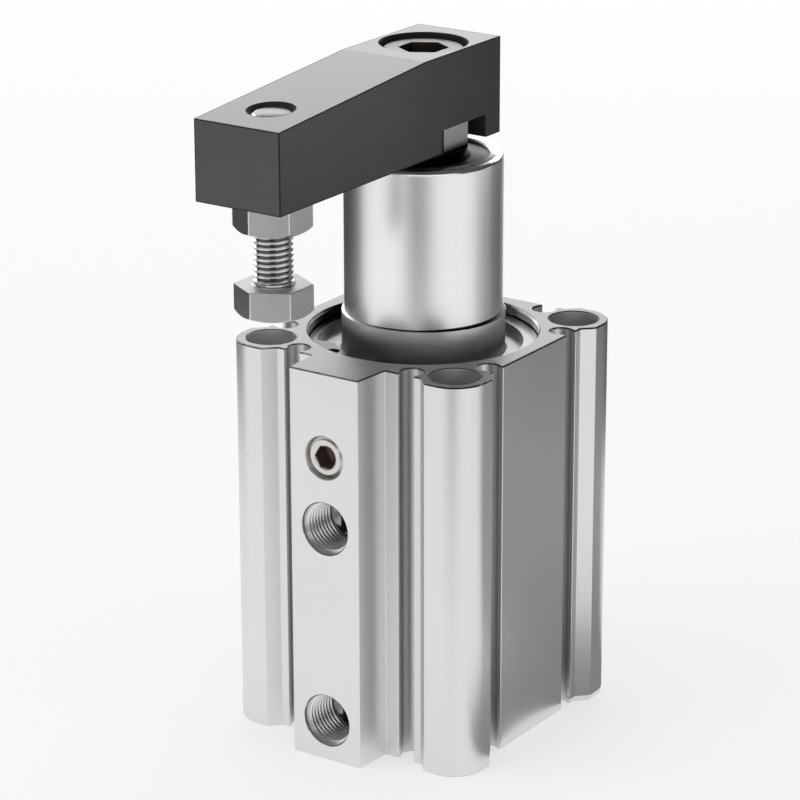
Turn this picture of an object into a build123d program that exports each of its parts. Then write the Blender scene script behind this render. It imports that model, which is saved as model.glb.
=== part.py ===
from build123d import *
import math
import os

os.makedirs("parts", exist_ok=True)

# Swing clamp cylinder, 40 mm bore, shown clamped, with the rod drawn in.
# Millimetres. The origin is on the rod axis at the bottom face of the body.
# +Z is the way the rod extends, -Y is the side with the ports.

# Travel: the rod first lifts straight, then lifts and turns
clamp_stroke = 10.0
swing_stroke = 15.0
swing_angle = 90.0

# Radial and axial gaps
seat_gap = 0.02  # between pieces that stay together
running_gap = 0.03  # between pieces that slide or turn
stop_gap = 0.02  # between the piston and a bumper at the end of the stroke
pin_gap = 0.3  # from the guide pin's tip to the rod

# Body extrusion
bore_d = 40.0
side_wall = 4.15  # bore to the sunken side faces
corner_web = 1.5343  # ring groove to the counterbores, which sets the holes 40 mm apart
hole_d = 5.5
counterbore_d = 9.0
counterbore_depth = 7.0
boss_radius = 6.3  # round the mounting holes
facet_inset = 2.35  # hole axis to the 45 degree facet's outer end
edge_break = 0.3
end_edge = 0.2  # chamfer round the two cut ends of the extrusion

# Sensor grooves, two in each side
groove_spacing = 7.65  # hole axis to groove axis
channel_d = 4.3
channel_sink = 2.1  # side face to the channel's axis
groove_mouth = 3.3

# Port block
block_stand = 7.65  # side face to the block's front
block_front_width = 14.7
block_draft = 0.55  # each side is this much wider at its root

# Ports: 1/8 inch pipe thread, drawn at its major diameter
port_thread_d = 9.73
port_thread_height = 0.565
port_mouth_chamfer = 0.235
port_thread_depth = 8.3
port_drill_run = 1.1  # below the thread
passage_d = 3.5
lower_passage_rise = 1.0  # head cover to the passage's axis
lower_port_drop = 2.25  # passage to port
upper_passage_drop = 1.2  # rod cover to the passage's axis
upper_port_drop = 1.6  # passage to port

# Covers and their retaining rings
flange_step = 1.0  # how far a cover's flange is wider than the bore
flange_mouth_chamfer = 0.5
ring_thickness = 1.75
ring_groove_play = 0.35
ring_groove_depth = 1.25
ring_inset = 2.05  # body face to the outer face of the ring
ring_width = 4.1  # radial width opposite the gap
ring_tip_width = 2.6  # radial width beside the gap
ring_gap_angle = -105.0
lug_reach = 5.9  # how far the lugs come in from the groove
lug_start = 7.0  # degrees from the middle of the gap
lug_end = 41.0
lug_inner_end = 31.0  # where the lug's inner edge stops
lug_overlap = 1.0  # how far the lug runs into the ring
lug_round = 1.0
lug_hole_d = 2.5
lug_hole_angle = 17.0
head_flange_thickness = 1.75
head_spigot_length = 3.45
head_dish_d = 24.0
head_dish_depth = 0.8

# Rings of round cord and their grooves
cord_d = 1.5
small_cord_d = 1.0
cord_play = 0.05  # below the cord
cord_side_play = 0.2  # at each side of the cord

# Bumpers
bumper_recess = 1.5
head_bumper_stand = 2.0
head_bumper_inset = 1.0  # outside the nut's recess
head_bumper_width = 3.2
rod_bumper_stand = 1.0
rod_bumper_inset = 2.2  # outside the rod
rod_bumper_width = 3.4

# Piston: its grooves are stacked from the bottom, with a land between them
piston_clearance = 0.2
piston_edge = 0.8
piston_bottom_land = 1.2
piston_top_land = 1.0
ring_land = 0.9
wear_ring_height = 2.4
wear_ring_thickness = 1.5
seal_height = 2.8
seal_thickness = 3.2
seal_waist = 1.1  # how deep the seal is cut in between its lips
seal_lip_height = 0.55
magnet_height = 1.8
magnet_thickness = 2.2
magnet_sink = 0.6  # below the piston's outside
ring_play = 0.05
ring_split = 0.6

# Piston rod
rod_d = 16.0
spigot_step = 2.0  # how far the spigot in the piston is smaller than the rod
spigot_edge = 0.8
nut_flats = 18.0
nut_height = 4.4
nut_clearance = 0.8  # round the nut's corners
nut_sink = 0.8
tongue_step = 1.0  # how deep the tongue's flats are cut
tongue_height = 5.2
rod_thread_d = 10.0
rod_thread_depth = 30.0
drill_point_angle = 118.0

# Cam groove in the rod and its guide pin
pin_d = 5.0
cam_play = 0.05  # at each side of the pin
cam_depth = 2.5
pin_head_play = 0.2  # round the pin's head, in the set screw's hole
pin_head_height = 1.6
pin_tip_chamfer = 0.5
pin_height = 10.7  # above the lower end of the rod cover

# Set screw that holds the guide pin
set_screw_d = 8.0
set_screw_length = 7.0
set_screw_edge = 0.77
set_screw_inset = 0.4
set_screw_flats = 4.0
set_screw_socket = 4.0
set_screw_mouth_chamfer = 0.2

# Rod cover
cover_relief = 1.5  # how far its lower end is turned down
cover_relief_height = 3.0
cover_spigot_length = 19.45
cover_flange_thickness = 3.25
cover_bore_clearance = 0.25  # round the rod, below the bush
lower_gasket_height = 5.0  # above the lower end of the cover
upper_gasket_height = 15.0
bush_wall = 1.5
bush_start = 9.3  # above the guide pin
bush_sink = 1.0  # below the seal
bush_chamfer = 0.5
rod_seal_width = 3.0
rod_seal_height = 4.8
rod_lip_wall = 0.75
seal_float = 0.3
scraper_width = 4.0
scraper_sink = 0.7
scraper_height = 2.7
scraper_wall = 0.6
neck_wall = 2.5  # outside the scraper
neck_stand = 33.5  # above the body
neck_round = 0.9
collar_step = 0.5  # how far the collar stands out from the neck
collar_stand = 4.0  # above the body
collar_root = 0.5
collar_edge = 0.2

# Cap screw through the arm's hub
cap_head_d = 14.9
cap_head_height = 10.0
cap_head_sink = 0.9
cap_head_edge = 0.65
cap_seat_play = 0.4  # round the head
cap_flats = 8.0
cap_socket = 5.0
cap_length = 28.0
cap_hole_play = 0.3  # round the shank

# Arm
hub_wall = 0.95  # beside the cap screw's counterbore
arm_lift = 2.2  # neck to the underside of the arm
arm_rear = 11.7
arm_length = 67.5
arm_edge = 0.15
hub_height = 17.7
hub_length = 23.9
tip_height = 14.4
tip_end = 9.8  # clamp bolt's axis to the arm's end
tip_mouth_chamfer = 0.65
notch_play = 0.1  # at each side of the rod's tongue
notch_depth = 4.2
notch_round = 0.5  # upright edges where the notch opens in the arm's sides

# Clamp bolt and its lock nut
bolt_d = 7.0
bolt_flats = 12.0
bolt_head_height = 5.3
bolt_length = 30.1
bolt_root = 0.6
bolt_end_chamfer = 0.3
lock_nut_height = 5.8
hex_chamfer_share = 0.95  # chamfer circle over the width across flats
hex_chamfer_angle = 30.0
arm_to_bolt_head = 20.7  # underside of the arm to the clamping face

# Radii and places across, worked out from the bore, the rod and the screws
bore_r = bore_d / 2
flange_r = bore_r + flange_step
ring_groove_r = flange_r + ring_groove_depth
hole_offset = (ring_groove_r + corner_web + counterbore_d / 2) / math.sqrt(2)
hole_pitch = 2 * hole_offset
face_reach = bore_r + side_wall
boss_reach = hole_offset + boss_radius
facet_end = hole_offset - facet_inset
facet_start = facet_end - (boss_reach - face_reach)
groove_offset = hole_offset - groove_spacing
channel_reach = face_reach - channel_sink
block_reach = face_reach + block_stand
port_drill_depth = port_thread_depth + port_drill_run
spigot_r = bore_r - seat_gap
cord_groove_width = cord_d + 2 * cord_side_play
gasket_inner_r = bore_r - cord_d - cord_play
rod_r = rod_d / 2
rod_spigot_r = rod_r - spigot_step
nut_recess_r = nut_flats / math.sqrt(3) + nut_clearance
head_bumper_r = nut_recess_r + head_bumper_inset
rod_bumper_r = rod_r + rod_bumper_inset
piston_r = bore_r - piston_clearance
bush_r = rod_r + bush_wall
seal_housing_r = rod_r + rod_seal_width
scraper_r = rod_r + scraper_width
neck_r = scraper_r + neck_wall
collar_r = neck_r + collar_step
tongue_flats = 2 * (rod_r - tongue_step)
notch_width = tongue_flats + 2 * notch_play
arm_width = cap_head_d + 2 * (cap_seat_play + hub_wall)
clamp_reach = arm_length - arm_rear - tip_end

# Heights, worked out from the bottom of the body upwards
stroke = clamp_stroke + swing_stroke
ring_groove_width = ring_thickness + ring_groove_play
head_flange_bottom = ring_inset + ring_thickness
head_seat_z = head_flange_bottom + head_flange_thickness
head_cover_top = head_seat_z + head_spigot_length
piston_bottom = head_cover_top + head_bumper_stand
nut_seat_z = piston_bottom + nut_sink + nut_height
wear_ring_z = piston_bottom + piston_bottom_land
piston_seal_z = wear_ring_z + wear_ring_height + ring_land
magnet_z = piston_seal_z + seal_height + ring_land
piston_top = magnet_z + magnet_height + piston_top_land
cover_bottom = piston_top + stroke + rod_bumper_stand
pin_z = cover_bottom + pin_height
cover_seat_z = cover_bottom + cover_spigot_length
cover_flange_top = cover_seat_z + cover_flange_thickness
body_height = cover_flange_top + ring_thickness + ring_inset
lower_passage_z = head_cover_top + lower_passage_rise
lower_port_z = lower_passage_z - lower_port_drop
upper_passage_z = cover_bottom - upper_passage_drop
upper_port_z = upper_passage_z - upper_port_drop
collar_top = body_height + collar_stand
neck_top = body_height + neck_stand
scraper_top = neck_top - scraper_sink
scraper_bottom = scraper_top - scraper_height
seal_bottom = scraper_bottom - rod_seal_height - seal_float
bush_top = seal_bottom - bush_sink
bush_bottom = pin_z + bush_start
arm_bottom = neck_top + arm_lift
rod_top = arm_bottom + notch_depth
tongue_bottom = rod_top - tongue_height
hub_top = arm_bottom + hub_height
cap_seat_z = hub_top - cap_head_sink - cap_head_height
bolt_face_z = arm_bottom - arm_to_bolt_head
bolt_head_top = bolt_face_z + bolt_head_height


# Body: one aluminium extrusion with four corner bosses, eight keyhole grooves and a port block
with BuildSketch() as boss_outline:
    with BuildLine():
        Polyline(
            (hole_offset, boss_reach),
            (facet_end, boss_reach),
            (facet_start, face_reach),
            (facet_start, facet_start),
            (face_reach, facet_start),
            (boss_reach, facet_end),
            (boss_reach, hole_offset),
        )
        CenterArc((hole_offset, hole_offset), boss_radius, 0, 90)
    make_face()

with BuildSketch() as groove_pair:
    with Locations((-groove_offset, -channel_reach), (groove_offset, -channel_reach)):
        Circle(channel_d / 2)
        Rectangle(groove_mouth, 2 * channel_sink, align=(Align.CENTER, Align.MAX))

# A port's cavity, and the stepped hole of the guide pin, both turned about +Z and opening upwards
with BuildPart() as port_cavity:
    with BuildSketch(Plane.XZ):
        with BuildLine():
            Polyline(
                (0, 0),
                (port_thread_d / 2 + port_mouth_chamfer, 0),
                (port_thread_d / 2, -port_mouth_chamfer),
                (port_thread_d / 2, -port_thread_depth),
                (port_thread_d / 2 - port_thread_height, -port_thread_depth),
                (port_thread_d / 2 - port_thread_height, -port_drill_depth),
                (0, -port_drill_depth),
                close=True,
            )
        make_face()
    revolve(axis=Axis.Z)

with BuildPart() as pin_cavity:
    screw_hole_depth = set_screw_inset + set_screw_length + pin_head_height
    with BuildSketch(Plane.XZ):
        with BuildLine():
            Polyline(
                (0, 0),
                (set_screw_d / 2 + set_screw_mouth_chamfer, 0),
                (set_screw_d / 2, -set_screw_mouth_chamfer),
                (set_screw_d / 2, -screw_hole_depth),
                (pin_d / 2 + seat_gap, -screw_hole_depth),
                (pin_d / 2 + seat_gap, -block_reach),
                (0, -block_reach),
                close=True,
            )
        make_face()
    revolve(axis=Axis.Z)

with BuildPart() as cylinder_tube:
    with BuildSketch():
        Rectangle(2 * face_reach, 2 * face_reach)
        with PolarLocations(0, 4):
            add(boss_outline.sketch)
        with BuildLine():
            Polyline(
                (-block_front_width / 2 - block_draft, -face_reach),
                (-block_front_width / 2, -block_reach),
                (block_front_width / 2, -block_reach),
                (block_front_width / 2 + block_draft, -face_reach),
                close=True,
            )
        make_face()
        with PolarLocations(0, 4):
            add(groove_pair.sketch, mode=Mode.SUBTRACT)
    extrude(amount=body_height)
    # Cylinder bore, with a wider seat for a cover and a retaining ring at each end
    with BuildSketch():
        Circle(bore_r)
    extrude(amount=body_height, mode=Mode.SUBTRACT)
    with BuildSketch():
        Circle(flange_r)
    extrude(amount=head_seat_z, mode=Mode.SUBTRACT)
    with BuildSketch(Plane.XY.offset(cover_seat_z)):
        Circle(flange_r)
    extrude(amount=body_height - cover_seat_z, mode=Mode.SUBTRACT)
    for groove_z in (head_flange_bottom - ring_groove_width, cover_flange_top):
        with BuildSketch(Plane.XY.offset(groove_z)):
            Circle(ring_groove_r)
        extrude(amount=ring_groove_width, mode=Mode.SUBTRACT)
    # Mounting holes, counterbored from both ends
    for end_z, inwards in ((0, 1), (body_height, -1)):
        with BuildSketch(Plane.XY.offset(end_z)):
            with GridLocations(hole_pitch, hole_pitch, 2, 2):
                Circle(counterbore_d / 2)
        extrude(amount=inwards * counterbore_depth, mode=Mode.SUBTRACT)
    with BuildSketch():
        with GridLocations(hole_pitch, hole_pitch, 2, 2):
            Circle(hole_d / 2)
    extrude(amount=body_height, mode=Mode.SUBTRACT)
    for end_face in (faces().sort_by(Axis.Z)[0], faces().sort_by(Axis.Z)[-1]):
        mouths = end_face.inner_wires()
        chamfer([w.edge() for w in mouths if w.edge().radius < flange_r], edge_break)
        chamfer([w.edge() for w in mouths if w.edge().radius >= flange_r], flange_mouth_chamfer)
    for end_face in (faces().sort_by(Axis.Z)[0], faces().sort_by(Axis.Z)[-1]):
        chamfer(end_face.outer_wire().edges(), end_edge)
    # Ports, the guide pin's hole and the air passages, bored in from the port block
    for port_z in (lower_port_z, upper_port_z):
        with Locations(Plane((0, -block_reach, port_z), x_dir=(1, 0, 0), z_dir=(0, -1, 0))):
            add(port_cavity.part, mode=Mode.SUBTRACT)
    with Locations(Plane((0, -block_reach, pin_z), x_dir=(1, 0, 0), z_dir=(0, -1, 0))):
        add(pin_cavity.part, mode=Mode.SUBTRACT)
    for passage_z in (lower_passage_z, upper_passage_z):
        with BuildSketch(Plane((0, -block_reach + port_drill_depth, passage_z), z_dir=(0, 1, 0))):
            Circle(passage_d / 2)
        extrude(amount=block_reach - port_drill_depth - bore_r + passage_d / 2, mode=Mode.SUBTRACT)
cylinder_tube.part.label = "cylinder_tube"
export_step(cylinder_tube.part, "parts/cylinder_tube.step")


# Head cover: a disc that closes the lower end, with a gasket groove
head_groove_z = (head_seat_z + head_cover_top - cord_groove_width) / 2
with BuildPart() as head_cover:
    with BuildSketch(Plane.XZ):
        with BuildLine():
            Polyline(
                (0, head_flange_bottom + head_dish_depth),
                (head_dish_d / 2, head_flange_bottom + head_dish_depth),
                (head_dish_d / 2, head_flange_bottom),
                (flange_r - seat_gap, head_flange_bottom),
                (flange_r - seat_gap, head_seat_z),
                (spigot_r, head_seat_z),
                (spigot_r, head_groove_z),
                (gasket_inner_r, head_groove_z),
                (gasket_inner_r, head_groove_z + cord_groove_width),
                (spigot_r, head_groove_z + cord_groove_width),
                (spigot_r, head_cover_top - edge_break),
                (spigot_r - edge_break, head_cover_top),
                (head_bumper_r + head_bumper_width + seat_gap, head_cover_top),
                (head_bumper_r + head_bumper_width + seat_gap, head_cover_top - bumper_recess),
                (head_bumper_r - seat_gap, head_cover_top - bumper_recess),
                (head_bumper_r - seat_gap, head_cover_top),
                (0, head_cover_top),
                close=True,
            )
        make_face()
    revolve(axis=Axis.Z)
head_cover.part.label = "head_cover"
export_step(head_cover.part, "parts/head_cover.step")


# Gaskets: round cords in the grooves of the two covers
def cord_ring(name, outer_r, middle_z, section_d):
    with BuildPart() as ring:
        with BuildSketch(Plane.XZ):
            with Locations((outer_r - section_d / 2, middle_z)):
                Circle(section_d / 2)
        revolve(axis=Axis.Z)
    ring.part.label = name
    export_step(ring.part, f"parts/{name}.step")


lower_groove_z = cover_bottom + lower_gasket_height
upper_groove_z = cover_bottom + upper_gasket_height
for gasket_name, groove_z in (
    ("head_gasket", head_groove_z),
    ("lower_cover_gasket", lower_groove_z),
    ("upper_cover_gasket", upper_groove_z),
):
    cord_ring(gasket_name, spigot_r, groove_z + cord_groove_width / 2, cord_d)


# Retaining rings: spring rings that grow thinner towards their gap, with a holed lug on each side of it
def on_ring(radius, angle):
    """The point at a radius and an angle round the rod axis."""
    return Vector(radius, 0).rotate(Axis.Z, angle)


def retaining_ring(name, bottom_z):
    outer_r = ring_groove_r - seat_gap
    wide_r = outer_r - ring_width
    tip_r = outer_r - ring_tip_width
    inner_shift = (tip_r - wide_r) / 2
    lug_inner_r = outer_r - lug_reach
    lug_root_r = tip_r + lug_overlap
    lug_hole_r = (lug_inner_r + tip_r) / 2
    with BuildPart() as ring:
        with BuildSketch(Plane.XY.offset(bottom_z)):
            Circle(outer_r)
            with Locations((inner_shift, 0)):
                Circle((wide_r + tip_r) / 2, mode=Mode.SUBTRACT)
            for side in (1, -1):
                with BuildLine():
                    CenterArc((0, 0), lug_inner_r, side * lug_start, side * (lug_inner_end - lug_start))
                    CenterArc((0, 0), lug_root_r, side * lug_start, side * (lug_end - lug_start))
                    Line(on_ring(lug_inner_r, side * lug_start), on_ring(lug_root_r, side * lug_start))
                    Line(on_ring(lug_inner_r, side * lug_inner_end), on_ring(lug_root_r, side * lug_end))
                make_face()
            with BuildLine():
                Polyline(
                    (0, 0),
                    on_ring(2 * outer_r, lug_start),
                    on_ring(2 * outer_r, -lug_start),
                    close=True,
                )
            make_face(mode=Mode.SUBTRACT)
            for side in (1, -1):
                with Locations(on_ring(lug_hole_r, side * lug_hole_angle)):
                    Circle(lug_hole_d / 2, mode=Mode.SUBTRACT)
            fillet(vertices().filter_by(lambda v: Vector(v).length < lug_inner_r + seat_gap), lug_round)
        extrude(amount=ring_thickness)
    placed = ring.part.rotate(Axis.Z, ring_gap_angle)
    placed.label = name
    export_step(placed, f"parts/{name}.step")


retaining_ring("head_retaining_ring", ring_inset)
retaining_ring("rod_retaining_ring", cover_flange_top)


# Bumpers: soft rings that take the piston at each end of its travel
with BuildPart() as head_bumper:
    with BuildSketch(Plane.XY.offset(head_cover_top - bumper_recess)):
        Circle(head_bumper_r + head_bumper_width)
        Circle(head_bumper_r, mode=Mode.SUBTRACT)
    extrude(amount=bumper_recess + head_bumper_stand - stop_gap)
    chamfer(faces().sort_by(Axis.Z)[-1].edges(), edge_break)
head_bumper.part.label = "head_bumper"
export_step(head_bumper.part, "parts/head_bumper.step")

with BuildPart() as rod_bumper:
    with BuildSketch(Plane.XY.offset(cover_bottom - rod_bumper_stand + stop_gap)):
        Circle(rod_bumper_r + rod_bumper_width)
        Circle(rod_bumper_r, mode=Mode.SUBTRACT)
    extrude(amount=bumper_recess + rod_bumper_stand - stop_gap)
    chamfer(faces().sort_by(Axis.Z)[0].edges(), edge_break)
rod_bumper.part.label = "rod_bumper"
export_step(rod_bumper.part, "parts/rod_bumper.step")


# Rod cover: one turned piece, from the spigot in the bore up to the polished neck
with BuildPart() as rod_cover:
    with BuildSketch(Plane.XZ):
        with BuildLine():
            Polyline(
                (neck_r - neck_round, neck_top),
                (scraper_r + edge_break, neck_top),
                (scraper_r, neck_top - edge_break),
                (scraper_r, scraper_bottom),
                (seal_housing_r, scraper_bottom),
                (seal_housing_r, seal_bottom),
                (bush_r, seal_bottom),
                (bush_r, bush_bottom),
                (rod_r + cover_bore_clearance, bush_bottom),
                (rod_r + cover_bore_clearance, cover_bottom),
                (rod_bumper_r - seat_gap, cover_bottom),
                (rod_bumper_r - seat_gap, cover_bottom + bumper_recess),
                (rod_bumper_r + rod_bumper_width + seat_gap, cover_bottom + bumper_recess),
                (rod_bumper_r + rod_bumper_width + seat_gap, cover_bottom),
                (bore_r - cover_relief, cover_bottom),
                (bore_r - cover_relief, cover_bottom + cover_relief_height),
                (spigot_r, cover_bottom + cover_relief_height),
                (spigot_r, lower_groove_z),
                (gasket_inner_r, lower_groove_z),
                (gasket_inner_r, lower_groove_z + cord_groove_width),
                (spigot_r, lower_groove_z + cord_groove_width),
                (spigot_r, upper_groove_z),
                (gasket_inner_r, upper_groove_z),
                (gasket_inner_r, upper_groove_z + cord_groove_width),
                (spigot_r, upper_groove_z + cord_groove_width),
                (spigot_r, cover_seat_z),
                (flange_r - seat_gap, cover_seat_z),
                (flange_r - seat_gap, cover_flange_top),
                (collar_r + collar_root, cover_flange_top),
            )
            RadiusArc(
                (collar_r + collar_root, cover_flange_top),
                (collar_r, cover_flange_top + collar_root),
                collar_root,
            )
            Polyline(
                (collar_r, cover_flange_top + collar_root),
                (collar_r, collar_top - collar_edge),
                (neck_r, collar_top),
                (neck_r, neck_top - neck_round),
            )
            RadiusArc(
                (neck_r, neck_top - neck_round),
                (neck_r - neck_round, neck_top),
                -neck_round,
            )
        make_face()
    revolve(axis=Axis.Z)
    with BuildSketch(Plane.XZ):
        with Locations((0, pin_z)):
            Circle(pin_d / 2 + seat_gap)
    extrude(amount=flange_r, mode=Mode.SUBTRACT)
rod_cover.part.label = "rod_cover"
export_step(rod_cover.part, "parts/rod_cover.step")


# Bush, seal and scraper: what the rod runs through in the neck
with BuildPart() as rod_bush:
    with BuildSketch(Plane.XY.offset(bush_bottom)):
        Circle(bush_r - seat_gap)
        Circle(rod_r + running_gap, mode=Mode.SUBTRACT)
    extrude(amount=bush_top - bush_bottom)
    chamfer(edges().filter_by(GeomType.CIRCLE).group_by(SortBy.RADIUS)[-1], bush_chamfer)
rod_bush.part.label = "rod_bush"
export_step(rod_bush.part, "parts/rod_bush.step")

with BuildPart() as rod_seal:
    seal_inner_r = rod_r + running_gap
    seal_outer_r = seal_housing_r - seat_gap
    with BuildSketch(Plane.XZ):
        with BuildLine():
            Polyline(
                (seal_inner_r, seal_bottom),
                (seal_inner_r + rod_lip_wall, seal_bottom),
                ((seal_inner_r + seal_outer_r) / 2, seal_bottom + rod_seal_height / 2),
                (seal_outer_r - rod_lip_wall, seal_bottom),
                (seal_outer_r, seal_bottom),
                (seal_outer_r, seal_bottom + rod_seal_height),
                (seal_inner_r + rod_lip_wall / 2, seal_bottom + rod_seal_height),
                (seal_inner_r + rod_lip_wall / 2, seal_bottom + rod_seal_height / 2),
                close=True,
            )
        make_face()
    revolve(axis=Axis.Z)
rod_seal.part.label = "rod_seal"
export_step(rod_seal.part, "parts/rod_seal.step")

with BuildPart() as scraper:
    scraper_lip_r = rod_r + running_gap
    with BuildSketch(Plane.XZ):
        with BuildLine():
            Polyline(
                (scraper_r - seat_gap, scraper_bottom),
                (scraper_r - seat_gap, scraper_top),
                (rod_r + scraper_wall, scraper_top),
                (scraper_lip_r, scraper_top - scraper_wall),
                (scraper_lip_r, scraper_top - 2 * scraper_wall),
                (rod_r + scraper_wall, scraper_bottom),
                close=True,
            )
        make_face()
    revolve(axis=Axis.Z)
scraper.part.label = "scraper"
export_step(scraper.part, "parts/scraper.step")


# Guide pin and the set screw behind it, both drawn on their own axis and then laid along -Y
def lay_in_block(piece, name):
    """Turns a piece drawn on +Z, with its outer end at Z = 0, into the guide pin's hole."""
    placed = Plane((0, -block_reach, pin_z), x_dir=(1, 0, 0), z_dir=(0, -1, 0)) * piece
    placed.label = name
    export_step(placed, f"parts/{name}.step")


pin_head_top = -(set_screw_inset + set_screw_length)
pin_tip = -(block_reach - rod_r - pin_gap)
with BuildPart() as guide_pin:
    pin_head_r = set_screw_d / 2 - pin_head_play
    with BuildSketch(Plane.XZ):
        with BuildLine():
            Polyline(
                (0, pin_head_top),
                (pin_head_r, pin_head_top),
                (pin_head_r, pin_head_top - pin_head_height),
                (pin_d / 2, pin_head_top - pin_head_height),
                (pin_d / 2, pin_tip + pin_tip_chamfer),
                (pin_d / 2 - pin_tip_chamfer, pin_tip),
                (0, pin_tip),
                close=True,
            )
        make_face()
    revolve(axis=Axis.Z)
lay_in_block(guide_pin.part, "guide_pin")

with BuildPart() as guide_pin_screw:
    with BuildSketch(Plane.XY.offset(-set_screw_inset)):
        Circle(set_screw_d / 2 - seat_gap)
    extrude(amount=-set_screw_length)
    chamfer(edges().filter_by(GeomType.CIRCLE), set_screw_edge)
    with BuildSketch(Plane.XY.offset(-set_screw_inset)):
        RegularPolygon(set_screw_flats / 2, 6, major_radius=False)
    extrude(amount=-set_screw_socket, mode=Mode.SUBTRACT)
lay_in_block(guide_pin_screw.part, "guide_pin_screw")


# Piston: three grooves round the outside, a recess for its nut below
def groove_points(low, height, depth):
    high = low + height
    return [(piston_r, low), (piston_r - depth, low), (piston_r - depth, high), (piston_r, high)]


with BuildPart() as piston:
    with BuildSketch(Plane.XZ):
        with BuildLine():
            Polyline(
                (rod_spigot_r + seat_gap, piston_top),
                (rod_spigot_r + seat_gap, nut_seat_z),
                (nut_recess_r, nut_seat_z),
                (nut_recess_r, piston_bottom),
                (piston_r - piston_edge, piston_bottom),
                (piston_r, piston_bottom + piston_edge),
                *groove_points(wear_ring_z, wear_ring_height, wear_ring_thickness),
                *groove_points(piston_seal_z, seal_height, seal_thickness),
                *groove_points(magnet_z, magnet_height, magnet_thickness + magnet_sink),
                (piston_r, piston_top - piston_edge),
                (piston_r - piston_edge, piston_top),
                close=True,
            )
        make_face()
    revolve(axis=Axis.Z)
piston.part.label = "piston"
export_step(piston.part, "parts/piston.step")


# Split rings on the piston
def split_ring(name, groove_z, height, groove_depth, outer_r):
    with BuildPart() as ring:
        with BuildSketch(Plane.XY.offset(groove_z + ring_play)):
            Circle(outer_r)
            Circle(piston_r - groove_depth + ring_play, mode=Mode.SUBTRACT)
            with Locations((bore_r, 0)):
                Rectangle(bore_r, ring_split, mode=Mode.SUBTRACT)
        extrude(amount=height - 2 * ring_play)
    ring.part.label = name
    export_step(ring.part, f"parts/{name}.step")


split_ring("wear_ring", wear_ring_z, wear_ring_height, wear_ring_thickness, bore_r - running_gap)
split_ring("magnet", magnet_z, magnet_height, magnet_thickness + magnet_sink, piston_r - magnet_sink)

with BuildPart() as piston_seal:
    seal_low = piston_seal_z + ring_play
    seal_high = piston_seal_z + seal_height - ring_play
    seal_root_r = piston_r - seal_thickness + ring_play
    with BuildSketch(Plane.XZ):
        with BuildLine():
            Polyline(
                (seal_root_r, seal_low),
                (bore_r - running_gap, seal_low),
                (bore_r - running_gap, seal_low + seal_lip_height),
                (piston_r - seal_waist, (seal_low + seal_high) / 2),
                (bore_r - running_gap, seal_high - seal_lip_height),
                (bore_r - running_gap, seal_high),
                (seal_root_r, seal_high),
                close=True,
            )
        make_face()
    revolve(axis=Axis.Z)
piston_seal.part.label = "piston_seal"
export_step(piston_seal.part, "parts/piston_seal.step")


# Hexagons, with flats facing along X, and cut back by a cone at one or both ends
def hex_blank(flats, bottom_z, height, reach=0, chamfer_top=True):
    """A hexagon round an axis at Y = -reach."""
    corner_r = flats / math.sqrt(3)
    chamfer_r = hex_chamfer_share * flats / 2
    cone_height = (corner_r - chamfer_r) * math.tan(math.radians(hex_chamfer_angle))
    high_r = chamfer_r if chamfer_top else corner_r
    with BuildPart() as blank:
        with BuildSketch(Plane((0, -reach, bottom_z))):
            RegularPolygon(flats / 2, 6, major_radius=False, rotation=30)
        extrude(amount=height)
        with BuildSketch(Plane.XZ.offset(reach)):
            with BuildLine():
                Polyline(
                    (0, bottom_z),
                    (chamfer_r, bottom_z),
                    (corner_r, bottom_z + cone_height),
                    (corner_r, bottom_z + height - cone_height),
                    (high_r, bottom_z + height),
                    (0, bottom_z + height),
                    close=True,
                )
            make_face()
        revolve(axis=Axis((0, -reach, 0), (0, 0, 1)), mode=Mode.INTERSECT)
    return blank.part


with BuildPart() as piston_nut:
    add(hex_blank(nut_flats, nut_seat_z - nut_height, nut_height))
    with BuildSketch(Plane.XY.offset(nut_seat_z - nut_height)):
        Circle(rod_spigot_r + seat_gap)
    extrude(amount=nut_height, mode=Mode.SUBTRACT)
piston_nut.part.label = "piston_nut"
export_step(piston_nut.part, "parts/piston_nut.step")


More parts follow.
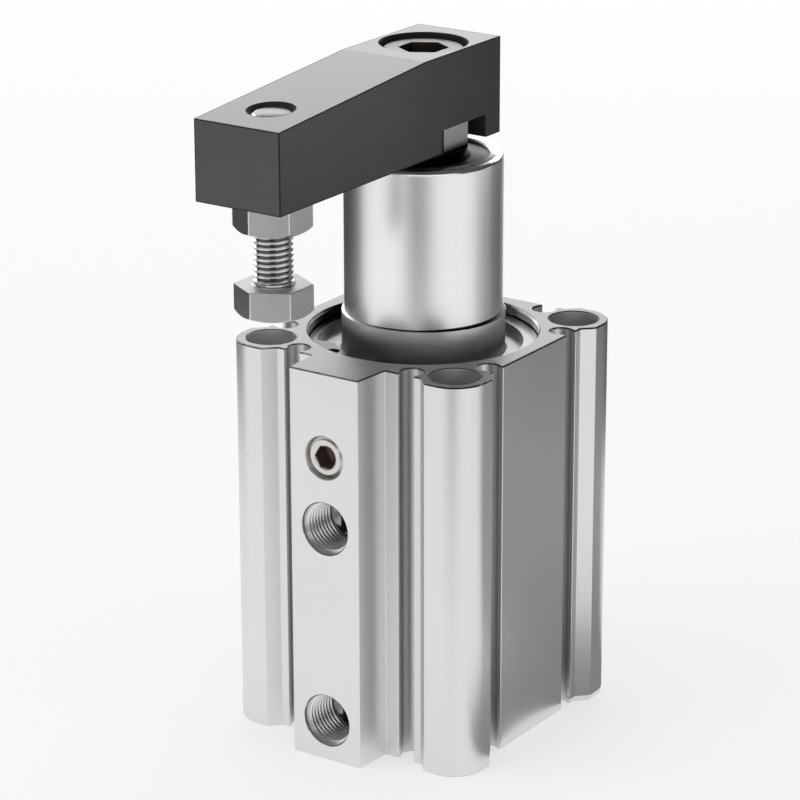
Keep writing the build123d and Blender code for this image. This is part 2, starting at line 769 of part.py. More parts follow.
# Piston rod: the spigot, the running length with the cam groove, and the squared tongue
piston_gasket_z = (nut_seat_z + piston_top) / 2
small_groove_r = rod_spigot_r - small_cord_d - cord_play
small_groove_reach = small_cord_d / 2 + cord_side_play
with BuildPart() as piston_rod:
    with BuildSketch(Plane.XZ):
        with BuildLine():
            Polyline(
                (0, piston_bottom + nut_sink),
                (rod_spigot_r - spigot_edge, piston_bottom + nut_sink),
                (rod_spigot_r, piston_bottom + nut_sink + spigot_edge),
                (rod_spigot_r, piston_gasket_z - small_groove_reach),
                (small_groove_r, piston_gasket_z - small_groove_reach),
                (small_groove_r, piston_gasket_z + small_groove_reach),
                (rod_spigot_r, piston_gasket_z + small_groove_reach),
                (rod_spigot_r, piston_top),
                (rod_r, piston_top),
                (rod_r, rod_top),
                (0, rod_top),
                close=True,
            )
        make_face()
    revolve(axis=Axis.Z)
    with BuildSketch(Plane.XY.offset(tongue_bottom)):
        Circle(rod_d)
        Rectangle(tongue_flats, tongue_flats, mode=Mode.SUBTRACT)
    extrude(amount=tongue_height, mode=Mode.SUBTRACT)
    # Tapped hole for the cap screw, with the drill's cone at its end
    with Locations((0, 0, rod_top)):
        Hole(rod_thread_d / 2, rod_thread_depth)
    drill_point = rod_thread_d / 2 * math.tan(math.radians((180 - drill_point_angle) / 2))
    with BuildSketch(Plane.XZ):
        with BuildLine():
            Polyline(
                (0, rod_top - rod_thread_depth),
                (rod_thread_d / 2, rod_top - rod_thread_depth),
                (0, rod_top - rod_thread_depth - drill_point),
                close=True,
            )
        make_face()
    revolve(axis=Axis.Z, mode=Mode.SUBTRACT)
    # Cam groove, which faces the guide pin at rest: straight down for the clamp stroke,
    # then round the rod by the swing angle for the swing stroke
    cam_width = pin_d + 2 * cam_play
    cam_floor_r = rod_r - cam_depth
    cam_turn_z = pin_z - clamp_stroke
    cam_end_z = cam_turn_z - swing_stroke
    with BuildSketch(Plane.XZ.offset(cam_floor_r)):
        with Locations((0, (pin_z + cam_turn_z) / 2)):
            SlotCenterToCenter(clamp_stroke, cam_width, rotation=90)
    extrude(amount=rod_r, mode=Mode.SUBTRACT)
    swing_path = Helix(
        pitch=swing_stroke * 360 / swing_angle,
        height=swing_stroke,
        radius=rod_r,
        mode=Mode.PRIVATE,
    ).moved(Location((0, 0, cam_end_z), (0, 0, -90 - swing_angle)))
    across = Vector(0, 0, 1).cross(swing_path % 0)
    with BuildSketch(Plane(swing_path @ 0, x_dir=across, z_dir=swing_path % 0)) as cam_section:
        Rectangle(2 * cam_depth, cam_width)
    sweep(cam_section.sketch, path=swing_path, is_frenet=True, mode=Mode.SUBTRACT)
    end_plane = Plane.XZ.rotated((0, 0, -swing_angle))
    with BuildSketch(end_plane.offset(cam_floor_r)):
        with Locations((0, cam_end_z)):
            Circle(cam_width / 2)
    extrude(amount=rod_r, mode=Mode.SUBTRACT)
piston_rod.part.label = "piston_rod"
export_step(piston_rod.part, "parts/piston_rod.step")

cord_ring("piston_gasket", rod_spigot_r, piston_gasket_z, small_cord_d)


# Clamp arm: a bar with a level hub, a top that falls towards the tip, and a notch across its underside
with BuildPart() as clamp_arm:
    with BuildSketch(Plane.YZ):
        with BuildLine():
            Polyline(
                (arm_rear, arm_bottom),
                (arm_rear, hub_top),
                (arm_rear - hub_length, hub_top),
                (arm_rear - arm_length, arm_bottom + tip_height),
                (arm_rear - arm_length, arm_bottom),
                (-notch_width / 2, arm_bottom),
                (-notch_width / 2, rod_top),
                (notch_width / 2, rod_top),
                (notch_width / 2, arm_bottom),
                close=True,
            )
        make_face()
    extrude(amount=arm_width / 2, both=True)
    fillet(edges().filter_by(Axis.Z).filter_by(lambda e: e.center().Z < rod_top), notch_round)
    top_and_ends = edges().filter_by(lambda e: e.center().Z > rod_top).filter_by(Axis.X, reverse=True)
    chamfer(top_and_ends + edges().filter_by(Axis.X).group_by(Axis.Y)[0], arm_edge)
    with Locations((0, 0, hub_top)):
        cap_hole_r = rod_thread_d / 2 + cap_hole_play
        CounterBoreHole(cap_hole_r, cap_head_d / 2 + cap_seat_play, hub_top - cap_seat_z)
    with Locations((0, -clamp_reach, hub_top)):
        Hole(bolt_d / 2)
    tip_edges = edges().filter_by(GeomType.ELLIPSE).sort_by(Axis.Z)
    chamfer(tip_edges[-1], tip_mouth_chamfer)
clamp_arm.part.label = "clamp_arm"
export_step(clamp_arm.part, "parts/clamp_arm.step")


# Cap screw that holds the arm on the rod
with BuildPart() as arm_screw:
    with BuildSketch(Plane.XZ):
        with BuildLine():
            screw_r = rod_thread_d / 2 - seat_gap
            cap_top = cap_seat_z + cap_head_height
            Polyline(
                (0, cap_top),
                (cap_head_d / 2 - cap_head_edge, cap_top),
                (cap_head_d / 2, cap_top - cap_head_edge),
                (cap_head_d / 2, cap_seat_z),
                (screw_r, cap_seat_z),
                (screw_r, cap_seat_z - cap_length + cap_head_edge),
                (screw_r - cap_head_edge, cap_seat_z - cap_length),
                (0, cap_seat_z - cap_length),
                close=True,
            )
        make_face()
    revolve(axis=Axis.Z)
    with BuildSketch(Plane.XY.offset(cap_top)):
        RegularPolygon(cap_flats / 2, 6, major_radius=False, rotation=30)
    extrude(amount=-cap_socket, mode=Mode.SUBTRACT)
arm_screw.part.label = "arm_screw"
export_step(arm_screw.part, "parts/arm_screw.step")


# Clamp bolt: its head is the face that presses on the work, its shank is screwed up into the arm
with BuildPart() as clamp_bolt:
    add(hex_blank(bolt_flats, bolt_face_z, bolt_head_height, reach=clamp_reach, chamfer_top=False))
    with BuildSketch(Plane.XZ.offset(clamp_reach)):
        with BuildLine():
            shank_r = bolt_d / 2 - seat_gap
            bolt_top = bolt_head_top + bolt_length
            Line((0, bolt_head_top), (shank_r + bolt_root, bolt_head_top))
            RadiusArc(
                (shank_r + bolt_root, bolt_head_top),
                (shank_r, bolt_head_top + bolt_root),
                bolt_root,
            )
            Polyline(
                (shank_r, bolt_head_top + bolt_root),
                (shank_r, bolt_top - bolt_end_chamfer),
                (shank_r - bolt_end_chamfer, bolt_top),
                (0, bolt_top),
                (0, bolt_head_top),
            )
        make_face()
    revolve(axis=Axis((0, -clamp_reach, 0), (0, 0, 1)))
clamp_bolt.part.label = "clamp_bolt"
export_step(clamp_bolt.part, "parts/clamp_bolt.step")

with BuildPart() as lock_nut:
    add(hex_blank(bolt_flats, arm_bottom - lock_nut_height, lock_nut_height, reach=clamp_reach))
    with BuildSketch(Plane((0, -clamp_reach, arm_bottom - lock_nut_height))):
        Circle(bolt_d / 2)
    extrude(amount=lock_nut_height, mode=Mode.SUBTRACT)
lock_nut.part.label = "lock_nut"
export_step(lock_nut.part, "parts/lock_nut.step")
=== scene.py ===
# %% [markdown]
# A swing clamp cylinder is an air cylinder whose rod lifts and turns an arm off the work. Its working shapes
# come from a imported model: every node already lies where it belongs, in metres, with the rod axis on Z and
# the ports on the -Y side. This lesson dresses that model. Most nodes only need a finish. The pieces that are
# seen close up, such as the threaded clamp bolt and the milled arm, are modelled again with the detail that
# a plain solid leaves out.

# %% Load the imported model
import math

import bpy
from mathutils import Euler, Matrix, Vector


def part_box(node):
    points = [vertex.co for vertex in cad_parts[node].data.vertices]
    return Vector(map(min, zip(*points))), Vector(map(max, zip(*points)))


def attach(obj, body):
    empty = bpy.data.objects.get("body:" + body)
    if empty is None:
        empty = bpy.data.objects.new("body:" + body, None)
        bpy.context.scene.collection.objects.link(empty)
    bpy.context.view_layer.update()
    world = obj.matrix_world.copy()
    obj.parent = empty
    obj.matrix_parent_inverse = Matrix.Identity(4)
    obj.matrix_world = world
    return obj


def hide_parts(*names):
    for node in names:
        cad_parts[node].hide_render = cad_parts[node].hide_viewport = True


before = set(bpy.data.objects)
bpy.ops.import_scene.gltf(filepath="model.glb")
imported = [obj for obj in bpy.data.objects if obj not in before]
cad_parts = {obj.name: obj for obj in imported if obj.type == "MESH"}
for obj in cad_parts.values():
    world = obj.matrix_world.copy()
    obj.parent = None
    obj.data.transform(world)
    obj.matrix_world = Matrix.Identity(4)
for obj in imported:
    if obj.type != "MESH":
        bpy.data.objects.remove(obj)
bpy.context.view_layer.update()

MM = 0.001
print("nodes:", len(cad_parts))

# %% [markdown]
# The camera comes first, because everything after it is judged through it. A product photograph is taken
# from far away with a long lens, so that upright edges stay upright. The camera looks at a point from an
# azimuth and an elevation, and Blender's own camera looks down its local -Z, which these two turns aim.

# %% Place the camera
VIEW_AZIMUTH = 34.19
VIEW_ELEVATION = 19.16
VIEW_ROLL = -0.15
VIEW_DISTANCE = 555.3 * MM
VIEW_TARGET = Vector((33.52, -57.06, 83.4)) * MM
LENS = 152.44
SENSOR = 36.0


def direction(azimuth, elevation):
    """A unit vector. Azimuth 0 is the port side, -Y, and 90 is +X."""
    turn, rise = math.radians(azimuth), math.radians(elevation)
    return Vector((math.sin(turn) * math.cos(rise), -math.cos(turn) * math.cos(rise), math.sin(rise)))


def place_camera():
    bpy.ops.object.camera_add(location=VIEW_TARGET + VIEW_DISTANCE * direction(VIEW_AZIMUTH, VIEW_ELEVATION))
    camera = bpy.context.object
    aim = Euler((math.radians(90 - VIEW_ELEVATION), 0, math.radians(VIEW_AZIMUTH))).to_matrix()
    camera.rotation_euler = (aim @ Matrix.Rotation(math.radians(VIEW_ROLL), 3, "Z")).to_euler()
    camera.data.sensor_width = SENSOR
    camera.data.lens = LENS
    bpy.context.scene.camera = camera
    bpy.context.scene.view_settings.view_transform = "Standard"
    print("camera at", [round(value / MM, 1) for value in camera.location])


place_camera()

# %% [markdown]
# Every finish is a small tree of nodes. Writing the trees out node by node is long and hard to read, so a few
# small classes carry the work. The first one is a wire, a number that runs through a tree. Sums, products and
# comparisons of wires add the Math nodes, so a formula in Python becomes a formula in the material.

# %% Wires that add Math nodes
class Wire:
    """A number that runs through a tree of nodes."""

    def __init__(self, tree, socket):
        self.tree = tree
        self.socket = socket

    def maths(self, operation, first, second=0.0):
        return self.tree.node("Math", {"operation": operation}, {0: first, 1: second})

    def __add__(self, other):
        return self.maths("ADD", self, other)

    def __radd__(self, other):
        return self.maths("ADD", other, self)

    def __sub__(self, other):
        return self.maths("SUBTRACT", self, other)

    def __rsub__(self, other):
        return self.maths("SUBTRACT", other, self)

    def __mul__(self, other):
        return self.maths("MULTIPLY", self, other)

    def __rmul__(self, other):
        return self.maths("MULTIPLY", other, self)

    def __abs__(self):
        return self.maths("ABSOLUTE", self)

    def __gt__(self, other):
        return self.maths("GREATER_THAN", self, other)

    def __lt__(self, other):
        return self.maths("LESS_THAN", self, other)

    def or_more(self, other):
        """The larger of two numbers. Of two masks it is the part that either one covers."""
        return self.maths("MAXIMUM", self, other)

    def or_less(self, other):
        """The smaller of two numbers."""
        return self.maths("MINIMUM", self, other)

    def length_with(self, other):
        """The length of the vector that this number and another one make."""
        return self.maths("SQRT", self * self + other * other)

    def rings(self, pitch):
        """The rings that a tool leaves, as a height of 0 to 1, with one ring for each pitch."""
        return self.maths("SINE", self * (math.tau / pitch)) * 0.5 + 0.5


# %% [markdown]
# The tree itself comes next. One method adds any other node from its type, its settings and its sockets,
# which is all that the world needs. A finish is a tree with a material round it. It has short ways to ask for
# a place on the object, a noise, a slope between two values, a colour between two colours, or a bump.

# %% Trees and finishes
MOUTH_LEFT = -14.0
MOUTH_RIGHT = 4.0


class Tree:
    """The nodes of a material or of the world."""

    def __init__(self, owner):
        owner.use_nodes = True
        self.nodes = owner.node_tree.nodes
        self.links = owner.node_tree.links
        self.nodes.clear()

    def node(self, kind, settings=None, sockets=None, output=0):
        """Adds a node and gives the wire of one output, or a list of wires for a tuple of outputs."""
        made = self.nodes.new("ShaderNode" + kind)
        for key, value in (settings or {}).items():
            setattr(made, key, value)
        for key, value in (sockets or {}).items():
            if isinstance(value, Wire):
                self.links.new(value.socket, made.inputs[key])
            else:
                made.inputs[key].default_value = value
        if isinstance(output, tuple):
            return [Wire(self, made.outputs[key]) for key in output]
        return Wire(self, made.outputs[output])


class Finish(Tree):
    """A material whose nodes are added from Python."""

    def __init__(self, name):
        self.material = bpy.data.materials.new(name)
        super().__init__(self.material)

    def place(self):
        """The place on the object, as a vector in metres."""
        return self.node("TexCoord", output="Object")

    def axes(self):
        """The place on the object as three numbers, in millimetres."""
        split = self.node("SeparateXYZ", {}, {0: self.place()}, output=("X", "Y", "Z"))
        return [value * (1 / MM) for value in split]

    def slope(self, value, start, end):
        """0 where a number is at its start, 1 where it is at its end, and a straight slope between them."""
        return self.node("MapRange", {}, {0: value, 1: start, 2: end})

    def shade_slope_across_mouth(self):
        """0 at the left of the cylinder's mouth and 1 at its right in the first view, fixed on the object. It
        sets where painted shade falls across the mouth.
        """
        x, y, z = self.axes()
        turn = math.radians(VIEW_AZIMUTH)
        return self.slope(x * math.cos(turn) + y * math.sin(turn), MOUTH_LEFT, MOUTH_RIGHT)

    def noise(self, size, detail=2.0, stretch=(1, 1, 1)):
        """Soft blotches of a size in millimetres, from 0 to 1, longer along an axis with more stretch."""
        shrunk = self.node("VectorMath", {"operation": "DIVIDE"}, {0: self.place(), 1: stretch})
        return self.node("TexNoise", {}, {"Vector": shrunk, "Scale": 1 / (size * MM), "Detail": detail})

    def mix(self, factor, first, second):
        """A colour between two colours. Sockets 6 and 7 and output 2 are the node's ones for colours."""
        return self.node("Mix", {"data_type": "RGBA"}, {0: factor, 6: first, 7: second}, output=2)

    def bump(self, height, depth):
        """A normal from a height of 0 to 1, where 1 stands as high as the depth in millimetres."""
        return self.node("Bump", {}, {"Height": height, "Distance": depth * MM})

    def end(self, shader):
        """Leads a shader to the material's output and gives the material."""
        self.node("OutputMaterial", {}, {"Surface": shader}, output=())
        return self.material

    def surface(self, **sockets):
        """Ends the finish with the Principled shader, whose sockets are named with _ for a space."""
        named = {key.replace("_", " "): value for key, value in sockets.items()}
        return self.end(self.node("BsdfPrincipled", {}, named))

    def metal(self, **sockets):
        return self.surface(Metallic=1.0, **sockets)


def grey(value, warmth=0.0):
    """A grey as a colour, a little warmer where warmth is over 0."""
    return (value * (1 + warmth), value, value * (1 - warmth), 1)


# %% [markdown]
# The stage is a pale floor, soft lamps and a white world. A satin metal shows what it mirrors, so in a metal
# photograph the lamps are less about light than about reflections. The white of the background comes from the
# floor's and the world's own materials for camera, glossy and transmission rays, and a share of the floor
# stays plain, which keeps the object's shadow.

# %% Make the floor and the world
FLOOR_SIZE = 8.0
FLOOR_GREY = 0.9
FLOOR_GLOW = 0.62
AMBIENT = 0.55


def seen_directly(tree):
    """1 for camera, glossy and transmission rays, and 0 for the light that falls on the object."""
    rays = ("Is Camera Ray", "Is Glossy Ray", "Is Transmission Ray")
    camera, glossy, clear = tree.node("LightPath", output=rays)
    return camera.or_more(glossy).or_more(clear)


def make_floor():
    bpy.ops.mesh.primitive_plane_add(size=FLOOR_SIZE, location=(0, 0, 0))
    floor = bpy.context.object
    floor.name = "floor"
    finish = Finish("pale_floor")
    plain = finish.node("BsdfDiffuse", {}, {"Color": grey(FLOOR_GREY)})
    white = finish.node("Emission", {}, {"Color": grey(1.0), "Strength": 1.0})
    glow = seen_directly(finish) * FLOOR_GLOW
    floor.data.materials.append(finish.end(finish.node("MixShader", {}, {0: glow, 1: plain, 2: white})))
    print("floor is", FLOOR_SIZE, "m wide")


def make_world():
    world = bpy.data.worlds.new("white_studio")
    bpy.context.scene.world = world
    tree = Tree(world)
    strength = AMBIENT + seen_directly(tree) * (1 - AMBIENT)
    background = tree.node("Background", {}, {"Color": grey(1.0), "Strength": strength})
    tree.node("OutputWorld", {}, {"Surface": background}, output=())
    print("world lights with", AMBIENT)


make_floor()
make_world()

# %% [markdown]
# Each lamp is a softbox: an area light that faces the object from an azimuth and an elevation. Its power is
# worked out from the brightness that it should show in a mirror, so that boxes of any size stay comparable.

# %% Set up the softboxes
STAGE_CENTRE = Vector((0, 0, 80)) * MM


def softbox(name, azimuth, elevation, distance, width, height, brightness):
    """A soft lamp that faces the stage. Sizes are in metres, and a brightness of 1 is that of white paper."""
    away = direction(azimuth, elevation)
    bpy.ops.object.light_add(type="AREA", location=STAGE_CENTRE + distance * away)
    lamp = bpy.context.object
    lamp.name = name
    lamp.rotation_euler = away.to_track_quat("Z", "Y").to_euler()
    lamp.data.shape = "RECTANGLE"
    lamp.data.size = width
    lamp.data.size_y = height
    lamp.data.energy = math.pi * brightness * width * height
    lamp.visible_camera = False
    print(name, "gives", round(lamp.data.energy, 2), "W")


softbox("key_softbox", -38, 42, 1.0, 0.8, 0.7, 1.8)
softbox("top_softbox", 60, 75, 1.0, 0.7, 0.7, 0.7)
softbox("back_softbox", 206, 24, 1.0, 1.5, 0.42, 1.9)
softbox("fill_softbox", 96, 25, 1.1, 0.35, 0.7, 0.6)

# %% [markdown]
# Now the first shapes are drawn. Blender's operators act on whatever is selected, and the import leaves every
# node selected, so each piece starts from an empty selection. A round piece is drawn as one half of its
# section. A plane whose corners are merged gives the first point, and every further point is extruded from
# the one before it. Turning this chain of points about the Z axis gives the shape, as a lathe does.

# %% Helpers for drawing
def only(piece):
    """Leaves one piece selected and active, in object mode."""
    if bpy.context.object and bpy.context.object.mode != "OBJECT":
        bpy.ops.object.mode_set(mode="OBJECT")
    bpy.ops.object.select_all(action="DESELECT")
    if piece:
        piece.select_set(True)
        bpy.context.view_layer.objects.active = piece


def edit(piece):
    """Opens a piece in edit mode with all of it selected."""
    only(piece)
    bpy.ops.object.mode_set(mode="EDIT")
    bpy.ops.mesh.select_all(action="SELECT")


def settle(piece):
    """Puts a piece's place into its mesh, so that its object sits at the origin."""
    only(piece)
    bpy.ops.object.transform_apply(location=True, rotation=True, scale=True)


def draw_section(points):
    """Draws a chain of edges through points (radius, height) in the XZ plane."""
    only(None)
    bpy.ops.mesh.primitive_plane_add(size=MM, location=(0, 0, 0))
    piece = bpy.context.object
    bpy.ops.object.mode_set(mode="EDIT")
    bpy.ops.mesh.select_mode(type="VERT")
    bpy.ops.mesh.select_all(action="SELECT")
    bpy.ops.mesh.merge(type="CENTER")
    bpy.ops.transform.translate(value=(points[0][0], 0, points[0][1]))
    for (radius, height), (next_radius, next_height) in zip(points, points[1:]):
        step = (next_radius - radius, 0, next_height - height)
        bpy.ops.mesh.extrude_vertices_move(TRANSFORM_OT_translate={"value": step})
    bpy.ops.object.mode_set(mode="OBJECT")
    return piece


# %% [markdown]
# Polished metal needs something dark to mirror, or it looks like white plastic. Photographers stand dark
# cards just outside the picture. These cards are curved walls round the object that only mirrored rays see:
# they throw no shadow, and the camera looks through them. The low ones darken the sides of the body, which
# mirror the floor, and the tall ones make the dark bands of the neck. The room cards stand far off and keep
# the rest of the metal from mirroring only white.

# %% Stand the dark cards
CARD_STEPS = 24


def for_mirrors_only(piece, tone):
    """Stages a piece of one even tone that only mirrored rays see."""
    finish = Finish(piece.name + "_paper")
    paper = finish.node("Emission", {}, {"Color": grey(tone), "Strength": 1.0})
    piece.data.materials.append(finish.end(paper))
    piece.visible_camera = False
    piece.visible_diffuse = False
    piece.visible_shadow = False
    piece.visible_transmission = False


def card(name, start, end, radius, low, high, tone, inner=None):
    """A curved wall between two azimuths, in metres. An inner radius gives it a foot along the floor."""
    foot = [] if inner is None else [(inner, low)]
    wall = draw_section([*foot, (radius, low), (radius, high)])
    wall.name = name
    wall.rotation_euler.z = math.radians(start - 90)
    settle(wall)
    edit(wall)
    bpy.ops.mesh.spin(steps=CARD_STEPS, angle=math.radians(start - end), center=(0, 0, 0), axis=(0, 0, 1))
    only(wall)
    for_mirrors_only(wall, tone)
    print(name, "spans", end - start, "degrees")


def ceiling_card(radius, height, tone):
    """A round card over the object, which gives every rounded edge its dark line."""
    bpy.ops.mesh.primitive_circle_add(vertices=48, radius=radius, fill_type="NGON", location=(0, 0, height))
    ceiling = bpy.context.object
    ceiling.name = "ceiling_card"
    for_mirrors_only(ceiling, tone)


card("back_left_card", 230, 299, 0.22, MM, 0.085, 0.02)
card("back_right_card", 150, 184, 0.16, MM, 0.13, 0.10)
card("right_card", 114, 150, 0.16, MM, 0.035, 0.25, inner=0.027)
card("right_foot_card", 60, 114, 0.055, MM, 1.2 * MM, 0.25, inner=0.027)
card("side_card", 112, 140, 0.16, 0.0355, 0.07, 0.3)
card("neck_card", 140, 150, 0.16, 0.0355, 0.13, 0.06)
card("front_card", 12, 42, 0.24, MM, 0.08, 0.16)
card("room_side_card", 80, 166, 0.5, 0.06, 0.42, 0.04)
card("room_front_card", -5, 80, 0.5, 0.27, 0.42, 0.04)
card("room_left_card", -80, -5, 0.5, 0.06, 0.42, 0.04)
ceiling_card(0.5, 0.42, 0.05)

# %% [markdown]
# The body is extruded aluminium, blasted with glass beads and anodised clear. The beads leave fine dents, so
# the metal shines softly and looks grainy from close up. Where tools cut it later, in the bore and in the
# counterbores, the rings of the tool show instead. One finish holds both and chooses by the place: a mask is
# 1 in a zone and 0 elsewhere. Some zones carry painted shade. The sensor grooves are painted darker than the
# skin, and the top edges get a painted dark reflection line. The well in the mouth and its ring groove are
# painted black at the left and lighter towards the right.

# %% Body finish
BLAST_GRAIN = 0.30
FINE_GRAIN = 0.12
TOOL_PITCH = 0.42
BORE_REACH = 22.6
HOLE_SPREAD = 20.0
COUNTERBORE_REACH = 4.62
END_DEPTH = 0.05
CHAMFER = 0.3
SLOT_REACH = 23.85
MOUTH_DEPTH = 1.7
PORT_HEIGHTS = {"upper": 45.2 * MM, "lower": 7.75 * MM}
PORT_REACH = 5.0
PORT_END = 22.0

finishes = {}
tube_low, tube_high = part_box("cylinder_tube")
ring_low, ring_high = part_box("rod_retaining_ring")


def keep_finish(slot, material):
    """Keeps a finish for the slot of that name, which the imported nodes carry."""
    finishes[slot] = material
    print(slot, "has", len(material.node_tree.nodes), "nodes")


def body_finish():
    finish = Finish("blasted_aluminium")
    x, y, z = finish.axes()
    top = tube_high.z / MM
    # A slope across the mouth, which sets the painted shade of the well, its ring groove and the top edge
    # line.
    painted_shade_slope = finish.shade_slope_across_mouth()
    dents = finish.noise(BLAST_GRAIN, detail=4) * 0.7 + finish.noise(FINE_GRAIN, detail=2) * 0.3
    clouds = finish.noise(14.0, detail=3)
    cut_end = (z > top - END_DEPTH).or_more(z < END_DEPTH)
    in_bore = x.length_with(y) < BORE_REACH
    in_hole = (abs(x) - HOLE_SPREAD).length_with(abs(y) - HOLE_SPREAD) < COUNTERBORE_REACH
    bored = in_bore.or_more(in_hole) * (1 - cut_end)
    chamfer = (z > top - CHAMFER) * (1 - cut_end) * (1 - bored)
    painted_slot_shade = abs(x).or_more(abs(y)) < SLOT_REACH
    in_ring_groove = in_bore * (z < top - MOUTH_DEPTH) * (z > ring_low.z / MM)
    upper, lower = [x.length_with(z - height / MM) for height in PORT_HEIGHTS.values()]
    tapped = (upper.or_less(lower) < PORT_REACH) * (y < -PORT_END)
    blasted = finish.mix(dents * 0.5 + clouds * 0.5, grey(0.77), grey(0.87))
    # The sensor grooves are painted darker than the skin: painted shade in the recesses.
    skin = finish.mix(painted_slot_shade, blasted, grey(0.65))
    # A painted dark reflection line along the top edges, darker towards the right.
    edge = finish.mix(painted_shade_slope, grey(0.34), grey(0.10))
    end = finish.mix(chamfer, finish.mix(clouds, grey(0.40), grey(0.46)), edge)
    # The bore wall and the ring groove are painted black at the left of the mouth and lighter at its right:
    # painted shade. The counterbores keep their own tone.
    wall = finish.mix(in_hole, finish.mix(painted_shade_slope, grey(0.03), grey(0.44)), grey(0.66))
    wall = finish.mix(in_ring_groove, wall, finish.mix(painted_shade_slope, grey(0.02), grey(0.20)))
    worked = finish.mix(bored, finish.mix(tapped, end, grey(0.80)), wall)
    height = dents * (1 - bored) * (1 - tapped) + z.rings(TOOL_PITCH) * bored
    return finish.metal(
        Base_Color=finish.mix(bored.or_more(cut_end).or_more(tapped).or_more(chamfer), skin, worked),
        Roughness=0.31 + dents * 0.10 - bored * 0.20 + in_hole * 0.40
        + cut_end * 0.16 - tapped * 0.06 - chamfer * 0.14,
        Normal=finish.bump(height, 0.018),
    )


keep_finish("body_aluminium", body_finish())

# %% [markdown]
# The covers, the piston and the bronze bush are turned from bar, so the tool leaves rings round the axis. Up
# a wall the rings follow the height, and on a flat face they follow the radius. The sum of both does either.

# %% Turned finish
TURNING_PITCH = 0.25


def turned_finish(name, tone, rough, warmth=0.0):
    finish = Finish(name)
    x, y, z = finish.axes()
    cloud = finish.noise(5.0, detail=3)
    streak = finish.noise(1.4, detail=4, stretch=(9, 9, 0.25))
    return finish.metal(
        Base_Color=finish.mix(cloud, grey(tone * 0.93, warmth), grey(tone, warmth)),
        Roughness=rough + streak * 0.10,
        Normal=finish.bump((z + x.length_with(y)).rings(TURNING_PITCH), 0.006),
    )


keep_finish("cover_aluminium", turned_finish("turned_aluminium", 0.74, 0.30))
keep_finish("bush_bronze", turned_finish("bush_bronze_turned", 0.55, 0.28, warmth=0.28))

# %% [markdown]
# The rod cover's neck is polished after turning. Its last marks run round it, which draws each mirrored light
# out along the neck. The collar below it stays duller. The step between the two carries a fine dark line of
# painted shade, which is painted wider towards the right.

# %% Polished cover finish
POLISH_PITCH = 0.31
FLANGE_TOP = 71.0
COLLAR_TOP = 78.5
CROWN_FOOT = 107.1
STEP_WIDTH = 0.12
STEP_REACH = 14.72
STEP_START = -6.0
STEP_FULL = 2.0
LEDGE = 0.32
LEDGE_START = 7.0
LEDGE_FULL = 14.5


def polished_cover_finish():
    finish = Finish("polished_neck")
    x, y, z = finish.axes()
    streak = finish.noise(1.1, detail=5, stretch=(14, 14, 0.18))
    cloud = finish.noise(9.0, detail=2)
    collar = z < COLLAR_TOP - STEP_WIDTH
    # A fine dark line of painted shade in the step over the collar, wider towards the right and fading out at
    # the left.
    ledge = finish.slope(x, LEDGE_START, LEDGE_FULL) * LEDGE
    step = (ledge * 0.4 + STEP_WIDTH > abs(z - COLLAR_TOP)) * (ledge + STEP_REACH > x.length_with(y))
    painted_step_shade = step * finish.slope(x, STEP_START, STEP_FULL)
    bare = finish.mix(cloud, grey(0.90), grey(0.97))
    turned = finish.mix(z < FLANGE_TOP, grey(0.92), grey(0.62))
    return finish.metal(
        Base_Color=finish.mix(painted_step_shade, finish.mix(collar, bare, turned), grey(0.02)),
        Roughness=0.27 + streak * 0.06 + collar * 0.11 - (z > CROWN_FOOT) * 0.08,
        Anisotropic=0.7,
        Normal=finish.bump(z.rings(POLISH_PITCH) * 0.5 + streak * 0.5, 0.0022),
    )


keep_finish("polished_cover", polished_cover_finish())

# %% [markdown]
# The arm is forged steel with a black oxide skin. The skin is fine and even, and shines at a low angle, so
# the top mirrors the light behind it while the sides stay dark. The holes and the broken edges are rougher,
# and they are painted nearly black: painted shade in the holes and a painted dark line along the edges. A
# place lies on an edge where it is close to two of the arm's faces at once.

# %% Black arm finish
TIP_HOLE_REACH = 4.3
CAP_HOLE_REACH = 8.1
ARM_EDGE_REACH = 0.2
ARM_TIP_HEIGHT = 14.4 * MM
HUB_LENGTH = 23.9 * MM

arm_low, arm_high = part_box("clamp_arm")
bolt_low, bolt_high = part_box("clamp_bolt")
bolt_x = (bolt_low.x + bolt_high.x) / 2
bolt_y = (bolt_low.y + bolt_high.y) / 2
crease_y = arm_high.y - HUB_LENGTH
arm_fall = (arm_high.z - arm_low.z - ARM_TIP_HEIGHT) / (crease_y - arm_low.y)


def arm_finish():
    finish = Finish("black_oxide")
    x, y, z = finish.axes()
    in_tip_hole = (x - bolt_x / MM).length_with(y - bolt_y / MM) < TIP_HOLE_REACH
    in_cap_hole = x.length_with(y) < CAP_HOLE_REACH
    top = arm_high.z / MM - (crease_y / MM - y).or_more(0.0) * arm_fall
    near = [arm_high.x / MM - abs(x), y - arm_low.y / MM, arm_high.y / MM - y, top - z, z - arm_low.z / MM]
    on_edge = sum(distance < ARM_EDGE_REACH for distance in near) > 1.5
    # The holes and the broken edges are made rougher, and painted nearly black as painted shade and a painted
    # dark edge line.
    dull = in_tip_hole.or_more(in_cap_hole).or_more(on_edge)
    fine = finish.noise(0.22, detail=3)
    cloud = finish.noise(8.0, detail=3)
    return finish.surface(
        Base_Color=finish.mix(dull, finish.mix(cloud, grey(0.030), grey(0.042)), grey(0.004)),
        Roughness=0.30 + fine * 0.08 + dull * 0.45,
        IOR=1.6,
        Coat_Weight=0.22 - dull * 0.22,
        Coat_Roughness=0.22,
        Normal=finish.bump(fine, 0.010),
    )


keep_finish("arm_black", arm_finish())
print("arm falls", round(arm_fall, 3), "from its hub to its tip")

# %% [markdown]
# The bolt and its nut are steel under bright zinc. The roots of the thread are painted dark as shade in the
# grooves, which the finish finds by the distance from the bolt's axis. The face under the head and the bolt's
# end stay dull.

# %% Bolt and nut finish
HEAD_FACE = 94.8
THREAD_ROOT = 2.9
THREAD_FADE = 0.3
nut_low, nut_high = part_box("lock_nut")


